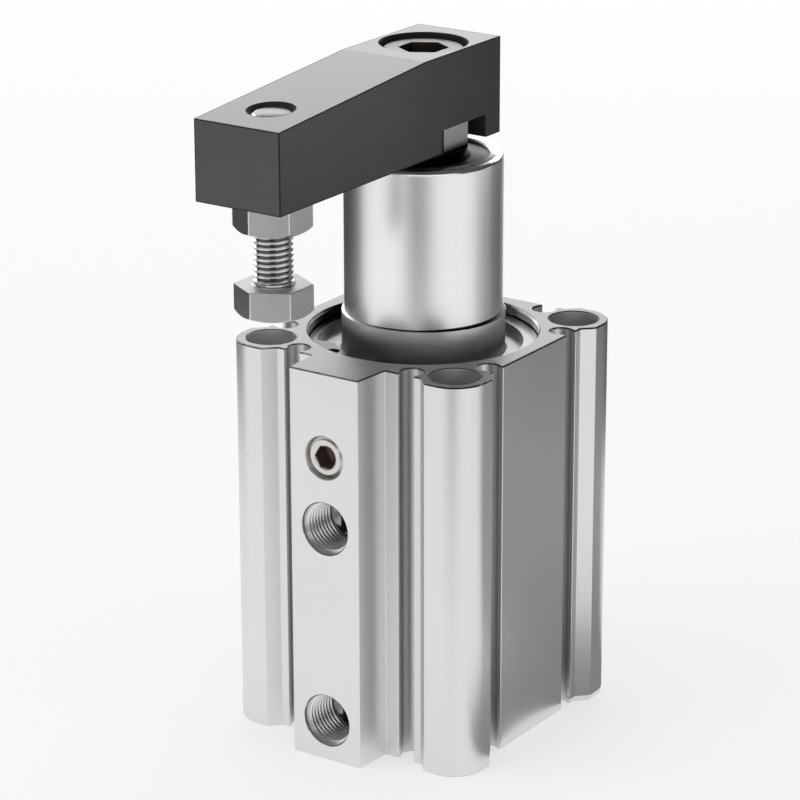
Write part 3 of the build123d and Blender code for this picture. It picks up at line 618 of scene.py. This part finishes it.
def bolt_finish():
    finish = Finish("bright_zinc")
    x, y, z = finish.axes()
    from_axis = (x - bolt_x / MM).length_with(y - bolt_y / MM)
    shank = (z > HEAD_FACE + END_DEPTH) * (z < nut_low.z / MM)
    # The thread's roots are painted dark: painted shade in the grooves.
    painted_root_shade = finish.slope(from_axis, THREAD_ROOT + THREAD_FADE, THREAD_ROOT)
    dull = (abs(z - HEAD_FACE) < END_DEPTH).or_more(abs(z - bolt_high.z / MM) < END_DEPTH)
    fine = finish.noise(0.35, detail=4)
    plate = finish.mix(finish.noise(3.0, detail=3), grey(0.75), grey(0.85))
    return finish.metal(
        Base_Color=finish.mix((painted_root_shade * shank).or_more(dull * 0.2), plate, grey(0.12)),
        Roughness=0.25 + fine * 0.10 + dull * 0.25 - shank * 0.06,
        Normal=finish.bump(fine, 0.006),
    )


keep_finish("bolt_steel", bolt_finish())

# %% [markdown]
# The spring rings are punched from spring steel with a black skin, and their outer sides are ground bare.
# The ground side carries painted shade: nearly black at the left of the mouth and lighter towards its right,
# like the well round it.

# %% Spring ring finish
head_ring_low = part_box("head_retaining_ring")[0]


def spring_ring_finish():
    finish = Finish("ground_spring_steel")
    x, y, z = finish.axes()
    ground = (z > ring_high.z / MM - END_DEPTH).or_more(z < head_ring_low.z / MM + END_DEPTH)
    # The ground side's tone across the mouth is painted shade.
    bare = finish.mix(finish.shade_slope_across_mouth(), grey(0.015), grey(0.22))
    fine = finish.noise(0.28, detail=4)
    return finish.surface(
        Metallic=ground * 0.8,
        Base_Color=finish.mix(ground, grey(0.02), bare),
        Roughness=0.22 + fine * 0.08,
        Normal=finish.bump(fine, 0.008),
    )


keep_finish("ring_steel", spring_ring_finish())

# %% [markdown]
# The rod is hard chromed. A stretch near its end, under the arm, is painted dark: painted shade of the arm.
# The tongue that fits the arm's notch is milled, so it is rougher, and its sides in the notch are painted
# dark as shade too. The guide pin is ground all over, so it only needs a fine grain.

# %% Rod and pin finishes
ROD_DARK_FOOT = 105.5
ROD_DARK_TOP = 110.7
ROD_FADE_BELOW = 1.0
ROD_FADE_ABOVE = 1.4
TONGUE_FOOT = 109.4
TONGUE_SIDE = 3.9


def rod_finish():
    finish = Finish("rod_hard_chrome")
    x, y, z = finish.axes()
    # The band under the arm and the sides of the tongue are painted nearly black: painted shade.
    above = finish.slope(z, ROD_DARK_TOP - ROD_FADE_ABOVE, ROD_DARK_TOP)
    below = finish.slope(z, ROD_DARK_FOOT, ROD_DARK_FOOT - ROD_FADE_BELOW)
    tongue = z > TONGUE_FOOT
    side = tongue * (abs(y) > TONGUE_SIDE)
    fine = finish.noise(1.4, detail=4)
    return finish.metal(
        Base_Color=finish.mix(above.or_more(below) * (1 - side), grey(0.02), grey(0.82)),
        Roughness=0.16 + fine * 0.08 + tongue * 0.40,
        Normal=finish.bump(z.rings(TURNING_PITCH), 0.002),
    )


def pin_finish():
    finish = Finish("pin_ground")
    fine = finish.noise(0.35, detail=4)
    return finish.metal(
        Base_Color=finish.mix(finish.noise(3.0, detail=3), grey(0.528), grey(0.60)),
        Roughness=0.20 + fine * 0.10,
        Normal=finish.bump(fine, 0.003),
    )


keep_finish("rod_chrome", rod_finish())
keep_finish("pin_steel", pin_finish())

# %% [markdown]
# The two socket screws are plated steel: nickel on the set screw, which stands behind the guide pin, and a
# darker plate on the arm's cap screw. Little light comes back out of a socket. So the finish turns dark
# brown below the mouth of the socket and within its reach of the screw's axis.

# %% Socket screw finishes
CAP_SOCKET_REACH = 4.75
SET_SOCKET_REACH = 2.38
SOCKET_FADE = 0.12
SOCKET_LIP = 0.1
SOCKET_BROWN = (1.0, 0.81, 0.72)

cap_low, cap_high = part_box("arm_screw")
set_low, set_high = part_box("guide_pin_screw")
set_z = (set_low.z + set_high.z) / 2


def socket_screw_finish(name, tone, rough, along, reach, dark, warmth=0.0, dull=0.0):
    """Along names the screw's axis, dark is the tone of its socket, and dull roughens its outer face."""
    finish = Finish(name)
    x, y, z = finish.axes()
    radius = x.length_with(y) if along == "z" else x.length_with(z - set_z / MM)
    depth = cap_high.z / MM - z if along == "z" else y - set_low.y / MM
    below = finish.slope(depth, SOCKET_LIP, 2 * SOCKET_LIP)
    inside = below * finish.slope(radius, reach, reach - SOCKET_FADE)
    fine = finish.noise(0.30, detail=4)
    plate = finish.mix(finish.noise(2.2, detail=3), grey(tone * 0.9, warmth), grey(tone, warmth))
    return finish.metal(
        Base_Color=finish.mix(inside, plate, [*(dark * part for part in SOCKET_BROWN), 1]),
        Roughness=rough + fine * 0.10 + inside * 0.2 + (depth < END_DEPTH) * dull,
        Normal=finish.bump(fine, 0.006),
    )


nickel = socket_screw_finish("nickel_plate", 0.74, 0.24, "y", SET_SOCKET_REACH, 0.3, warmth=0.035)
keep_finish("nickel_screw", nickel)
cap_plate = socket_screw_finish("cap_screw_plate", 0.60, 0.30, "z", CAP_SOCKET_REACH, 0.08, dull=0.24)
keep_finish("screw_steel", cap_plate)

# %% [markdown]
# Seals, bumpers, the wear ring and the magnet are moulded and hardly shine. They differ in colour and gloss:
# black rubber, amber urethane, a brown resin with a fine weave of fillers, and a dark ferrite.

# %% Moulded finishes
AMBER = ((0.42, 0.20, 0.05, 1), (0.50, 0.26, 0.08, 1))
BROWN = ((0.16, 0.09, 0.05, 1), (0.21, 0.12, 0.07, 1))


def moulded_finish(name, first, second, rough, size, depth, shine=0.5):
    """A material between two colours, with a grain of a size and depth in millimetres."""
    finish = Finish(name)
    fine = finish.noise(size, detail=4)
    return finish.surface(
        Base_Color=finish.mix(fine, first, second),
        Roughness=rough + fine * 0.12,
        Specular_IOR_Level=shine,
        Normal=finish.bump(fine, depth),
    )


keep_finish("seal_rubber", moulded_finish("seal_black", grey(0.012), grey(0.022), 0.46, 0.5, 0.012))
scraper = moulded_finish("scraper_black", grey(0.010), grey(0.016), 0.34, 0.5, 0.004, shine=0.35)
keep_finish("scraper_rubber", scraper)
keep_finish("bumper_urethane", moulded_finish("bumper_amber", *AMBER, 0.34, 0.8, 0.01))
keep_finish("wear_resin", moulded_finish("wear_ring_brown", *BROWN, 0.5, 0.35, 0.012))
keep_finish("magnet_ferrite", moulded_finish("magnet_dark", grey(0.035), grey(0.055), 0.48, 0.4, 0.01))

# %% [markdown]
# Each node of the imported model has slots, which name their stock finish. The new finishes go into these
# slots, so every node is dressed at once, also the ones inside that only show when the part is taken apart.

# %% Dress the nodes of the model
dressed = 0
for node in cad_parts.values():
    for slot in node.material_slots:
        slot.material = finishes[slot.material.name]
        dressed += 1
print("dressed slots:", dressed)

# %% [markdown]
# New pieces need a few more helpers. In edit mode, corners and edges are picked in code, by where they are.
# Every modifier is applied at once. Each piece is finished in the same way: its seams are closed, its faces
# turned outwards and its round faces smoothed, and it is told which body it rides on and which slot it wears.

# %% Helpers for modelling
SEAM = 0.001 * MM


def ends(piece, edge):
    """The places of an edge's two ends."""
    return [piece.data.vertices[index].co for index in edge.vertices]


def pick(piece, kind, test):
    """Opens a piece in edit mode with the corners (VERT) or edges (EDGE) selected that pass a test."""
    edit(piece)
    bpy.ops.mesh.select_all(action="DESELECT")
    bpy.ops.mesh.select_mode(type=kind)
    bpy.ops.object.mode_set(mode="OBJECT")
    picked = 0
    for part in piece.data.vertices if kind == "VERT" else piece.data.edges:
        part.select = test(part)
        picked += part.select
    bpy.ops.object.mode_set(mode="EDIT")
    return picked


def modify(piece, kind, **settings):
    """Adds a modifier and applies it at once."""
    only(piece)
    modifier = piece.modifiers.new(kind.lower(), kind)
    for key, value in settings.items():
        setattr(modifier, key, value)
    bpy.ops.object.modifier_apply(modifier=modifier.name)


def combine(piece, tool, operation):
    """Cuts a tool off a piece, joins it on, or keeps what both share. The tool is used up."""
    modify(piece, "BOOLEAN", object=tool, operation=operation, solver="EXACT")
    bpy.data.objects.remove(tool)


def break_edges(piece, width, angle=30.0):
    """Rounds every edge that turns by more than an angle, as deburring does."""
    modify(piece, "BEVEL", width=width, segments=3, limit_method="ANGLE", angle_limit=math.radians(angle))


def move(piece, x=0.0, y=0.0, z=0.0):
    only(piece)
    bpy.ops.transform.translate(value=(x, y, z))
    settle(piece)


def close_seams(piece):
    edit(piece)
    bpy.ops.mesh.remove_doubles(threshold=SEAM)
    bpy.ops.mesh.normals_make_consistent(inside=False)
    bpy.ops.object.mode_set(mode="OBJECT")


def own_copy(piece, name):
    """A copy of a piece with its own mesh."""
    twin = bpy.data.objects.new(name, piece.data.copy())
    bpy.context.collection.objects.link(twin)
    return twin


def complete(piece, name, body, slot, smooth=30.0):
    """Finishes a piece, names it, and gives it its body and the finish of a slot."""
    settle(piece)
    close_seams(piece)
    bpy.ops.object.shade_smooth_by_angle(angle=math.radians(smooth))
    modify(piece, "WEIGHTED_NORMAL", keep_sharp=True, weight=100)
    piece.name = name
    piece.data.name = name
    piece.data.materials.clear()
    piece.data.materials.append(finishes[slot])
    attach(piece, body)
    print(name, "has", len(piece.data.polygons), "faces")


# %% [markdown]
# Bolts, nuts and cutters are turned pieces. Their half sections start and end on the axis, which gives closed
# shapes, and an arc in a section gives a rounded edge or a fillet.

# %% Helpers for turning
SPIN_STEPS = 96
REACH_IN = 0.3 * MM


def turned(points):
    """Spins a section about the Z axis."""
    piece = draw_section(points)
    edit(piece)
    bpy.ops.mesh.spin(steps=SPIN_STEPS, angle=math.tau, center=(0, 0, 0), axis=(0, 0, 1))
    close_seams(piece)
    return piece


def arc(centre, radius, start, end, steps=6):
    """Points of a section on an arc. The angles are in degrees, from the outward direction towards +Z."""
    turns = [math.radians(start + (end - start) * step / steps) for step in range(steps + 1)]
    return [(centre[0] + radius * math.cos(turn), centre[1] + radius * math.sin(turn)) for turn in turns]


print("a full turn has", SPIN_STEPS, "steps")

# %% [markdown]
# A screw thread is a ridge that climbs by its pitch in each turn. The Screw modifier does just that: it turns
# a saw-tooth section while it lifts it by one pitch, so that each tooth meets the next. The bar that this
# gives is longer than needed. It is then kept only where it lies inside a turned outline, which cuts its ends
# and gives them their chamfers. The spare teeth are no whole number, because a cut is cleanest where no
# corner of the section lies level with it.

# %% Helpers for threads
THREAD_STEPS = 72
ROOT_FLAT = 0.20
CREST_FLAT = 0.12
SPARE_TEETH = 2.37
WELD = 0.002 * MM


def wind(section, pitch, turns=1):
    """Turns a section about the Z axis and lifts it by a pitch in each turn."""
    steps = {"steps": THREAD_STEPS, "render_steps": THREAD_STEPS}
    modify(section, "SCREW", screw_offset=pitch, iterations=turns, **steps)


def threaded_bar(depth, pitch, outline):
    """A bar with a thread outside, which fills a turned outline about the Z axis."""
    major_r = max(radius for radius, height in outline)
    low = min(height for radius, height in outline)
    high = max(height for radius, height in outline)
    flank = (1 - ROOT_FLAT - CREST_FLAT) / 2
    points = []
    for tooth in range(math.ceil((high - low) / pitch + 2 * SPARE_TEETH)):
        base = low + (tooth - SPARE_TEETH) * pitch
        points += [
            (major_r - depth, base),
            (major_r, base + flank * pitch),
            (major_r, base + (flank + CREST_FLAT) * pitch),
            (major_r - depth, base + (1 - ROOT_FLAT) * pitch),
        ]
    bar = draw_section(points)
    wind(bar, pitch)
    edit(bar)
    bpy.ops.mesh.remove_doubles(threshold=WELD)
    bpy.ops.mesh.fill_holes(sides=0)
    bpy.ops.mesh.normals_make_consistent(inside=False)
    bpy.ops.object.mode_set(mode="OBJECT")
    blank = turned([(radius + (radius == major_r) * REACH_IN, height) for radius, height in outline])
    combine(bar, blank, "INTERSECT")
    return bar


print("a thread has", THREAD_STEPS, "steps a turn")

# %% [markdown]
# The clamp bolt presses on the work with its head. A hexagon head is a six-sided bar whose corners are turned
# away by a cone, which gives the curved edge that every hexagon shows. So the bar's edges are broken, which
# catches the light, and the turned blank is what it is cut with. A fillet joins the head to the shank, which
# carries a real thread with a chamfered end. Pieces that are joined overlap a little, so that no two faces
# coincide.

# %% Model the clamp bolt
BOLT_THREAD_R = 3.48 * MM
BOLT_PITCH = 1.0 * MM
BOLT_THREAD_DEPTH = 0.60 * MM
BOLT_HEAD_HEIGHT = 5.3 * MM
BOLT_ROOT = 0.6 * MM
BOLT_END = 0.3 * MM
HEX_FACE = 0.95
HEX_CONE = math.tan(math.radians(30))
HEX_EDGE = 0.16 * MM
FIT = 0.03 * MM


def hexagon(flats, low, high, blank):
    """What a turned blank keeps of a hexagon bar about the Z axis, with its flats towards X."""
    only(None)
    place = (0, 0, (low + high) / 2)
    corner_r = flats / math.sqrt(3)
    bpy.ops.mesh.primitive_cylinder_add(vertices=6, radius=corner_r, depth=high - low, location=place)
    bar = bpy.context.object
    settle(bar)
    break_edges(bar, HEX_EDGE)
    combine(bar, blank, "INTERSECT")
    return bar


def cone(flats, face_z, way):
    """Section points from the axis to past a hexagon's corners. Way is 1 for a lower face, -1 for a top."""
    face_r = HEX_FACE * flats / 2
    clear_r = flats / math.sqrt(3) + REACH_IN
    return [(0, face_z), (face_r, face_z), (clear_r, face_z + way * (clear_r - face_r) * HEX_CONE)]


def make_clamp_bolt():
    flats = bolt_high.x - bolt_low.x
    head_top = bolt_low.z + BOLT_HEAD_HEIGHT
    face = cone(flats, bolt_low.z, 1)
    blank = turned([*face, (face[-1][0], head_top + MM), (0, head_top + MM)])
    bolt = hexagon(flats, bolt_low.z - MM, head_top, blank)
    neck_r = BOLT_THREAD_R - FIT
    fillet = arc((neck_r + BOLT_ROOT, head_top - FIT + BOLT_ROOT), BOLT_ROOT, 270, 180, steps=8)
    neck_foot = head_top - MM
    neck_top = fillet[-1][1] + 2 * FIT
    neck = [(0, neck_foot), (fillet[0][0], neck_foot), *fillet, (neck_r, neck_top), (0, neck_top)]
    combine(bolt, turned(neck), "UNION")
    shank = threaded_bar(BOLT_THREAD_DEPTH, BOLT_PITCH, [
        (0, head_top + FIT),
        (BOLT_THREAD_R, head_top + FIT),
        (BOLT_THREAD_R, bolt_high.z - BOLT_END),
        (BOLT_THREAD_R - BOLT_END, bolt_high.z),
        (0, bolt_high.z),
    ])
    combine(bolt, shank, "UNION")
    move(bolt, bolt_x, bolt_y)
    complete(bolt, "threaded_clamp_bolt", "rod_and_arm", "bolt_steel")
    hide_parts("clamp_bolt")


make_clamp_bolt()

# %% [markdown]
# The lock nut is the same hexagon with cones on both faces. The bolt fills its hole, so the hole is bored
# plain, with a countersink at each end where the thread starts.

# %% Model the lock nut
NUT_BORE_R = 3.52 * MM
NUT_SINK = 0.5 * MM


def make_lock_nut():
    flats = nut_high.x - nut_low.x
    blank = turned([*cone(flats, nut_low.z, 1), *reversed(cone(flats, nut_high.z, -1))])
    nut = hexagon(flats, nut_low.z - MM, nut_high.z + MM, blank)
    wide = NUT_BORE_R + 2 * NUT_SINK
    bore = turned([
        (0, nut_low.z - NUT_SINK),
        (wide, nut_low.z - NUT_SINK),
        (NUT_BORE_R, nut_low.z + NUT_SINK),
        (NUT_BORE_R, nut_high.z - NUT_SINK),
        (wide, nut_high.z + NUT_SINK),
        (0, nut_high.z + NUT_SINK),
    ])
    combine(nut, bore, "DIFFERENCE")
    move(nut, bolt_x, bolt_y)
    complete(nut, "chamfered_lock_nut", "rod_and_arm", "bolt_steel")
    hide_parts("lock_nut")


make_lock_nut()

# %% [markdown]
# The arm is a forged bar that is milled all over. It starts as a cube of its full size. A bisect at the hub's
# end gives the edge where the top starts to fall, and then the tip's upper edge is let down. The notch for
# the rod's tongue is cut before the edges are broken, because its mouth is deburred with them. The seat of
# the cap screw and the tapped hole come last, and have chamfers of their own. The edge across the top turns
# only a little, so it is marked sharp, or the smoothing would blur it.

# %% Model the clamp arm
NOTCH_WIDTH = 14.2 * MM
NOTCH_DEPTH = 4.2 * MM
NOTCH_ROUND = 0.2 * MM
CAP_SEAT_R = 7.85 * MM
CAP_SEAT_Z = 117.0 * MM
CAP_MOUTH = 0.2 * MM
CAP_HOLE_R = 5.25 * MM
TIP_HOLE_R = 3.52 * MM
TIP_MOUTH = 0.65 * MM
ARM_EDGE = 0.18 * MM


def bar_cutter(low, high):
    """A box-shaped cutter between two corners."""
    only(None)
    bpy.ops.mesh.primitive_cube_add(size=1, location=(low + high) / 2)
    cutter = bpy.context.object
    cutter.scale = high - low
    settle(cutter)
    return cutter


def hole_cutter(radius, low, high, mouth=0.0):
    """A round cutter about the Z axis, wider at its top by a mouth."""
    return turned([
        (0, low),
        (radius, low),
        (radius, high - mouth),
        (radius + mouth + REACH_IN, high + REACH_IN),
        (0, high + REACH_IN),
    ])


def round_notch(arm):
    """Rounds the four upright edges where the notch opens in the arm's sides."""
    reach = NOTCH_WIDTH / 2 + WELD
    top = arm_low.z + NOTCH_DEPTH + WELD

    def opens_notch(side):
        start, end = ends(arm, side)
        in_notch = all(abs(place.y) < reach and place.z < top for place in (start, end))
        return in_notch and (start - end).xy.length < WELD

    pick(arm, "EDGE", opens_notch)
    bpy.ops.mesh.bevel(offset=NOTCH_ROUND, segments=4)
    bpy.ops.object.mode_set(mode="OBJECT")


def sink_tip(arm):
    """Countersinks the tapped hole at right angles to the falling top of the arm."""
    sink_r = TIP_HOLE_R + TIP_MOUTH
    sink = turned([(0, -MM), (sink_r - MM, -MM), (sink_r + MM, MM), (0, MM)])
    only(sink)
    bpy.ops.transform.rotate(value=-math.atan(arm_fall), orient_axis="X", center_override=(0, 0, 0))
    move(sink, bolt_x, bolt_y, arm_high.z - arm_fall * (crease_y - bolt_y))
    combine(arm, sink, "DIFFERENCE")


def make_clamp_arm():
    arm = bar_cutter(arm_low, arm_high)
    edit(arm)
    bpy.ops.mesh.bisect(plane_co=(0, crease_y, 0), plane_no=(0, 1, 0))
    pick(arm, "VERT", lambda corner: corner.co.y < crease_y - MM and corner.co.z > arm_high.z - MM)
    bpy.ops.transform.translate(value=(0, 0, arm_low.z + ARM_TIP_HEIGHT - arm_high.z))
    notch_low = Vector((arm_low.x - MM, -NOTCH_WIDTH / 2, arm_low.z - MM))
    notch_high = Vector((arm_high.x + MM, NOTCH_WIDTH / 2, arm_low.z + NOTCH_DEPTH))
    combine(arm, bar_cutter(notch_low, notch_high), "DIFFERENCE")
    round_notch(arm)
    break_edges(arm, ARM_EDGE, angle=20)
    combine(arm, hole_cutter(CAP_SEAT_R, CAP_SEAT_Z, arm_high.z, CAP_MOUTH), "DIFFERENCE")
    combine(arm, hole_cutter(CAP_HOLE_R, arm_low.z, CAP_SEAT_Z + MM), "DIFFERENCE")
    pick(arm, "VERT", lambda corner: abs(corner.co.y - crease_y) < WELD and corner.co.z > arm_high.z - MM)
    bpy.ops.mesh.mark_sharp()
    tip_hole = hole_cutter(TIP_HOLE_R, arm_low.z - MM, arm_high.z)
    move(tip_hole, bolt_x, bolt_y)
    combine(arm, tip_hole, "DIFFERENCE")
    sink_tip(arm)
    complete(arm, "milled_clamp_arm", "rod_and_arm", "arm_black", smooth=25)
    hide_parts("clamp_arm")


make_clamp_arm()

# %% [markdown]
# The cap screw lies sunk in the arm's hub. Its head is turned with a rounded rim, and its socket is pressed
# in with a hexagon punch, which leaves the cone of the drilled hole at the bottom. The same punch, with a
# small conical mouth, makes the socket of the set screw later on.

# %% Model the arm's cap screw
CAP_SOCKET_FLATS = 8.0 * MM
CAP_SOCKET_DEPTH = 5.0 * MM
CAP_HEAD_EDGE = 0.65 * MM
CAP_UNDER_EDGE = 0.2 * MM
CAP_SHANK_R = 4.98 * MM
CAP_SHANK_END = 0.6 * MM
M10_PITCH = 1.5 * MM
M10_DEPTH = 0.85 * MM
PUNCH_POINT = 0.3


def socket_cutter(flats, depth, turn, top, mouth=0.0):
    """A hexagon punch about the Z axis, with a drilled point and a conical mouth, ready to cut a socket."""
    only(None)
    corner_r = flats / math.sqrt(3)
    height = depth + REACH_IN
    foot = top - depth
    bpy.ops.mesh.primitive_cylinder_add(vertices=6, radius=corner_r, depth=height)
    punch = bpy.context.object
    bpy.ops.transform.rotate(value=math.radians(turn), orient_axis="Z", center_override=(0, 0, 0))
    bpy.ops.transform.translate(value=(0, 0, foot + height / 2))
    settle(punch)
    point = turned([(0, foot - flats / 2 * PUNCH_POINT), (flats / 2, foot), (0, foot + MM)])
    combine(punch, point, "UNION")
    if mouth:
        mouth_r = corner_r + mouth
        sink = turned([
            (0, top - mouth_r * PUNCH_POINT * 2),
            (mouth_r, top),
            (mouth_r, top + REACH_IN),
            (0, top + REACH_IN),
        ])
        combine(punch, sink, "UNION")
    return punch


def make_arm_screw():
    head_r = (cap_high.x - cap_low.x) / 2
    crown = arc((head_r - CAP_HEAD_EDGE, cap_high.z - CAP_HEAD_EDGE), CAP_HEAD_EDGE, 0, 90)
    under = [(0, CAP_SEAT_Z), (head_r - CAP_UNDER_EDGE, CAP_SEAT_Z), (head_r, CAP_SEAT_Z + CAP_UNDER_EDGE)]
    screw = turned([*under, *crown, (0, cap_high.z)])
    combine(screw, socket_cutter(CAP_SOCKET_FLATS, CAP_SOCKET_DEPTH, 0, cap_high.z), "DIFFERENCE")
    shank = threaded_bar(M10_DEPTH, M10_PITCH, [
        (0, cap_low.z),
        (CAP_SHANK_R - CAP_SHANK_END, cap_low.z),
        (CAP_SHANK_R, cap_low.z + CAP_SHANK_END),
        (CAP_SHANK_R, CAP_SEAT_Z + REACH_IN),
        (0, CAP_SEAT_Z + REACH_IN),
    ])
    combine(screw, shank, "UNION")
    complete(screw, "socket_arm_screw", "rod_and_arm", "screw_steel")
    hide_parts("arm_screw")


make_arm_screw()

# %% [markdown]
# The set screw is a short threaded rod with a socket, and stands behind the guide pin. It is modelled upright
# and then tipped over, so that its socket looks out of the port side.

# %% Model the set screw
SET_SOCKET_FLATS = 4.0 * MM
SET_SOCKET_DEPTH = 3.6 * MM
SET_FACE_EDGE = 0.77 * MM
SET_SOCKET_TURN = 90.0
SET_SOCKET_MOUTH = 0.06 * MM
SET_PITCH = 1.25 * MM
SET_THREAD_DEPTH = 0.65 * MM


def lay_along_y(piece):
    """Tips an upright piece so that its top looks out of the port side."""
    only(piece)
    bpy.ops.transform.rotate(value=math.radians(-90), orient_axis="X", center_override=(0, 0, 0))
    settle(piece)


def make_set_screw():
    radius = (set_high.x - set_low.x) / 2
    back, face = -set_high.y, -set_low.y
    screw = threaded_bar(SET_THREAD_DEPTH, SET_PITCH, [
        (0, back),
        (radius - SET_FACE_EDGE, back),
        (radius, back + SET_FACE_EDGE),
        (radius, face - SET_FACE_EDGE),
        (radius - SET_FACE_EDGE, face),
        (0, face),
    ])
    punch = socket_cutter(SET_SOCKET_FLATS, SET_SOCKET_DEPTH, SET_SOCKET_TURN, face, SET_SOCKET_MOUTH)
    combine(screw, punch, "DIFFERENCE")
    lay_along_y(screw)
    move(screw, z=set_z)
    complete(screw, "socket_set_screw", "barrel", "nickel_screw")
    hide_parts("guide_pin_screw")


make_set_screw()

# %% [markdown]
# The two ports have a pipe thread. A tapped hole shows its thread as fine bright rings, so the ridge between
# the turns is modelled: a wedge-shaped section whose back lies in the hole's wall is wound along the hole,
# and both ends are cut square, as the tap leaves them. It is modelled once, and each port gets a copy.

# %% Model the ports' threads
PORT_PITCH = 0.907 * MM
PORT_MAJOR_R = 4.865 * MM
PORT_MINOR_R = 4.30 * MM
PORT_DEPTH = 8.2 * MM
PORT_MOUTH = 1.2 * MM
WALL_LAP = 0.03 * MM
RIDGE_FOOT = 0.46
RIDGE_CREST = 0.07


def fill_end(ridge, height):
    """Closes the end of a wound ridge that lies at a height on the +X side."""
    def on_end(corner):
        x, y, z = corner.co
        return x > 0 and abs(y) < WELD and abs(z - height) < PORT_PITCH / 2

    pick(ridge, "VERT", on_end)
    bpy.ops.mesh.edge_face_add()


def thread_ridge(low, high):
    """A ridge that winds inside a hole about the Z axis, cut square at both ends."""
    back_r = PORT_MAJOR_R + WALL_LAP
    start = low - PORT_PITCH
    turns = math.ceil((high - low) / PORT_PITCH) + 2
    ridge = draw_section([
        (back_r, start - RIDGE_FOOT * PORT_PITCH),
        (PORT_MINOR_R, start - RIDGE_CREST * PORT_PITCH),
        (PORT_MINOR_R, start + RIDGE_CREST * PORT_PITCH),
        (back_r, start + RIDGE_FOOT * PORT_PITCH),
    ])
    edit(ridge)
    bpy.ops.mesh.edge_face_add()
    bpy.ops.mesh.delete(type="ONLY_FACE")
    wind(ridge, PORT_PITCH, turns)
    fill_end(ridge, start)
    fill_end(ridge, start + turns * PORT_PITCH)
    edit(ridge)
    bpy.ops.mesh.normals_make_consistent(inside=False)
    side = Vector((2, 2, 0)) * PORT_MAJOR_R
    for foot, top in ((start - PORT_PITCH, low), (high, start + (turns + 1) * PORT_PITCH)):
        end_cutter = bar_cutter(Vector((0, 0, foot)) - side, Vector((0, 0, top)) + side)
        combine(ridge, end_cutter, "DIFFERENCE")
    return ridge


port_front = -tube_low.y
port_ridge = thread_ridge(port_front - PORT_DEPTH, port_front - PORT_MOUTH)
lay_along_y(port_ridge)
for port, height in PORT_HEIGHTS.items():
    port_thread = own_copy(port_ridge, port)
    move(port_thread, z=height)
    complete(port_thread, port + "_port_thread", "barrel", "body_aluminium")
bpy.data.objects.remove(port_ridge)

# %% [markdown]
# The body's own mesh meets in knife edges along its length. A real extrusion leaves its die with slightly
# rounded edges, whose thin bright and dark lines are half of its look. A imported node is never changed, so
# this is done on a copy. The copy is merged, its flat facets are joined, and its long upright edges are
# picked in code and bevelled.

# %% Round the body's long edges
LONG_EDGE = 20.0 * MM
SHARP_TURN = math.radians(20)
DIE_ROUND = 0.15 * MM
FLAT_TURN = math.radians(0.3)


def round_long_edges(piece):
    mesh = piece.data
    normals = {edge.key: [] for edge in mesh.edges}
    for face in mesh.polygons:
        for key in face.edge_keys:
            normals[key].append(face.normal.copy())

    def long_and_sharp(side):
        start, end = ends(piece, side)
        upright = (end - start).xy.length < WELD and abs(end.z - start.z) > LONG_EDGE
        return upright and normals[side.key][0].angle(normals[side.key][1]) > SHARP_TURN

    print("long edges:", pick(piece, "EDGE", long_and_sharp))
    bpy.ops.mesh.bevel(offset=DIE_ROUND, segments=3)
    bpy.ops.object.mode_set(mode="OBJECT")


tube = own_copy(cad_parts["cylinder_tube"], "tube_copy")
edit(tube)
bpy.ops.mesh.remove_doubles(threshold=SEAM)
bpy.ops.mesh.dissolve_limited(angle_limit=FLAT_TURN)
bpy.ops.object.mode_set(mode="OBJECT")
round_long_edges(tube)
complete(tube, "round_edged_tube", "barrel", "body_aluminium")
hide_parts("cylinder_tube")
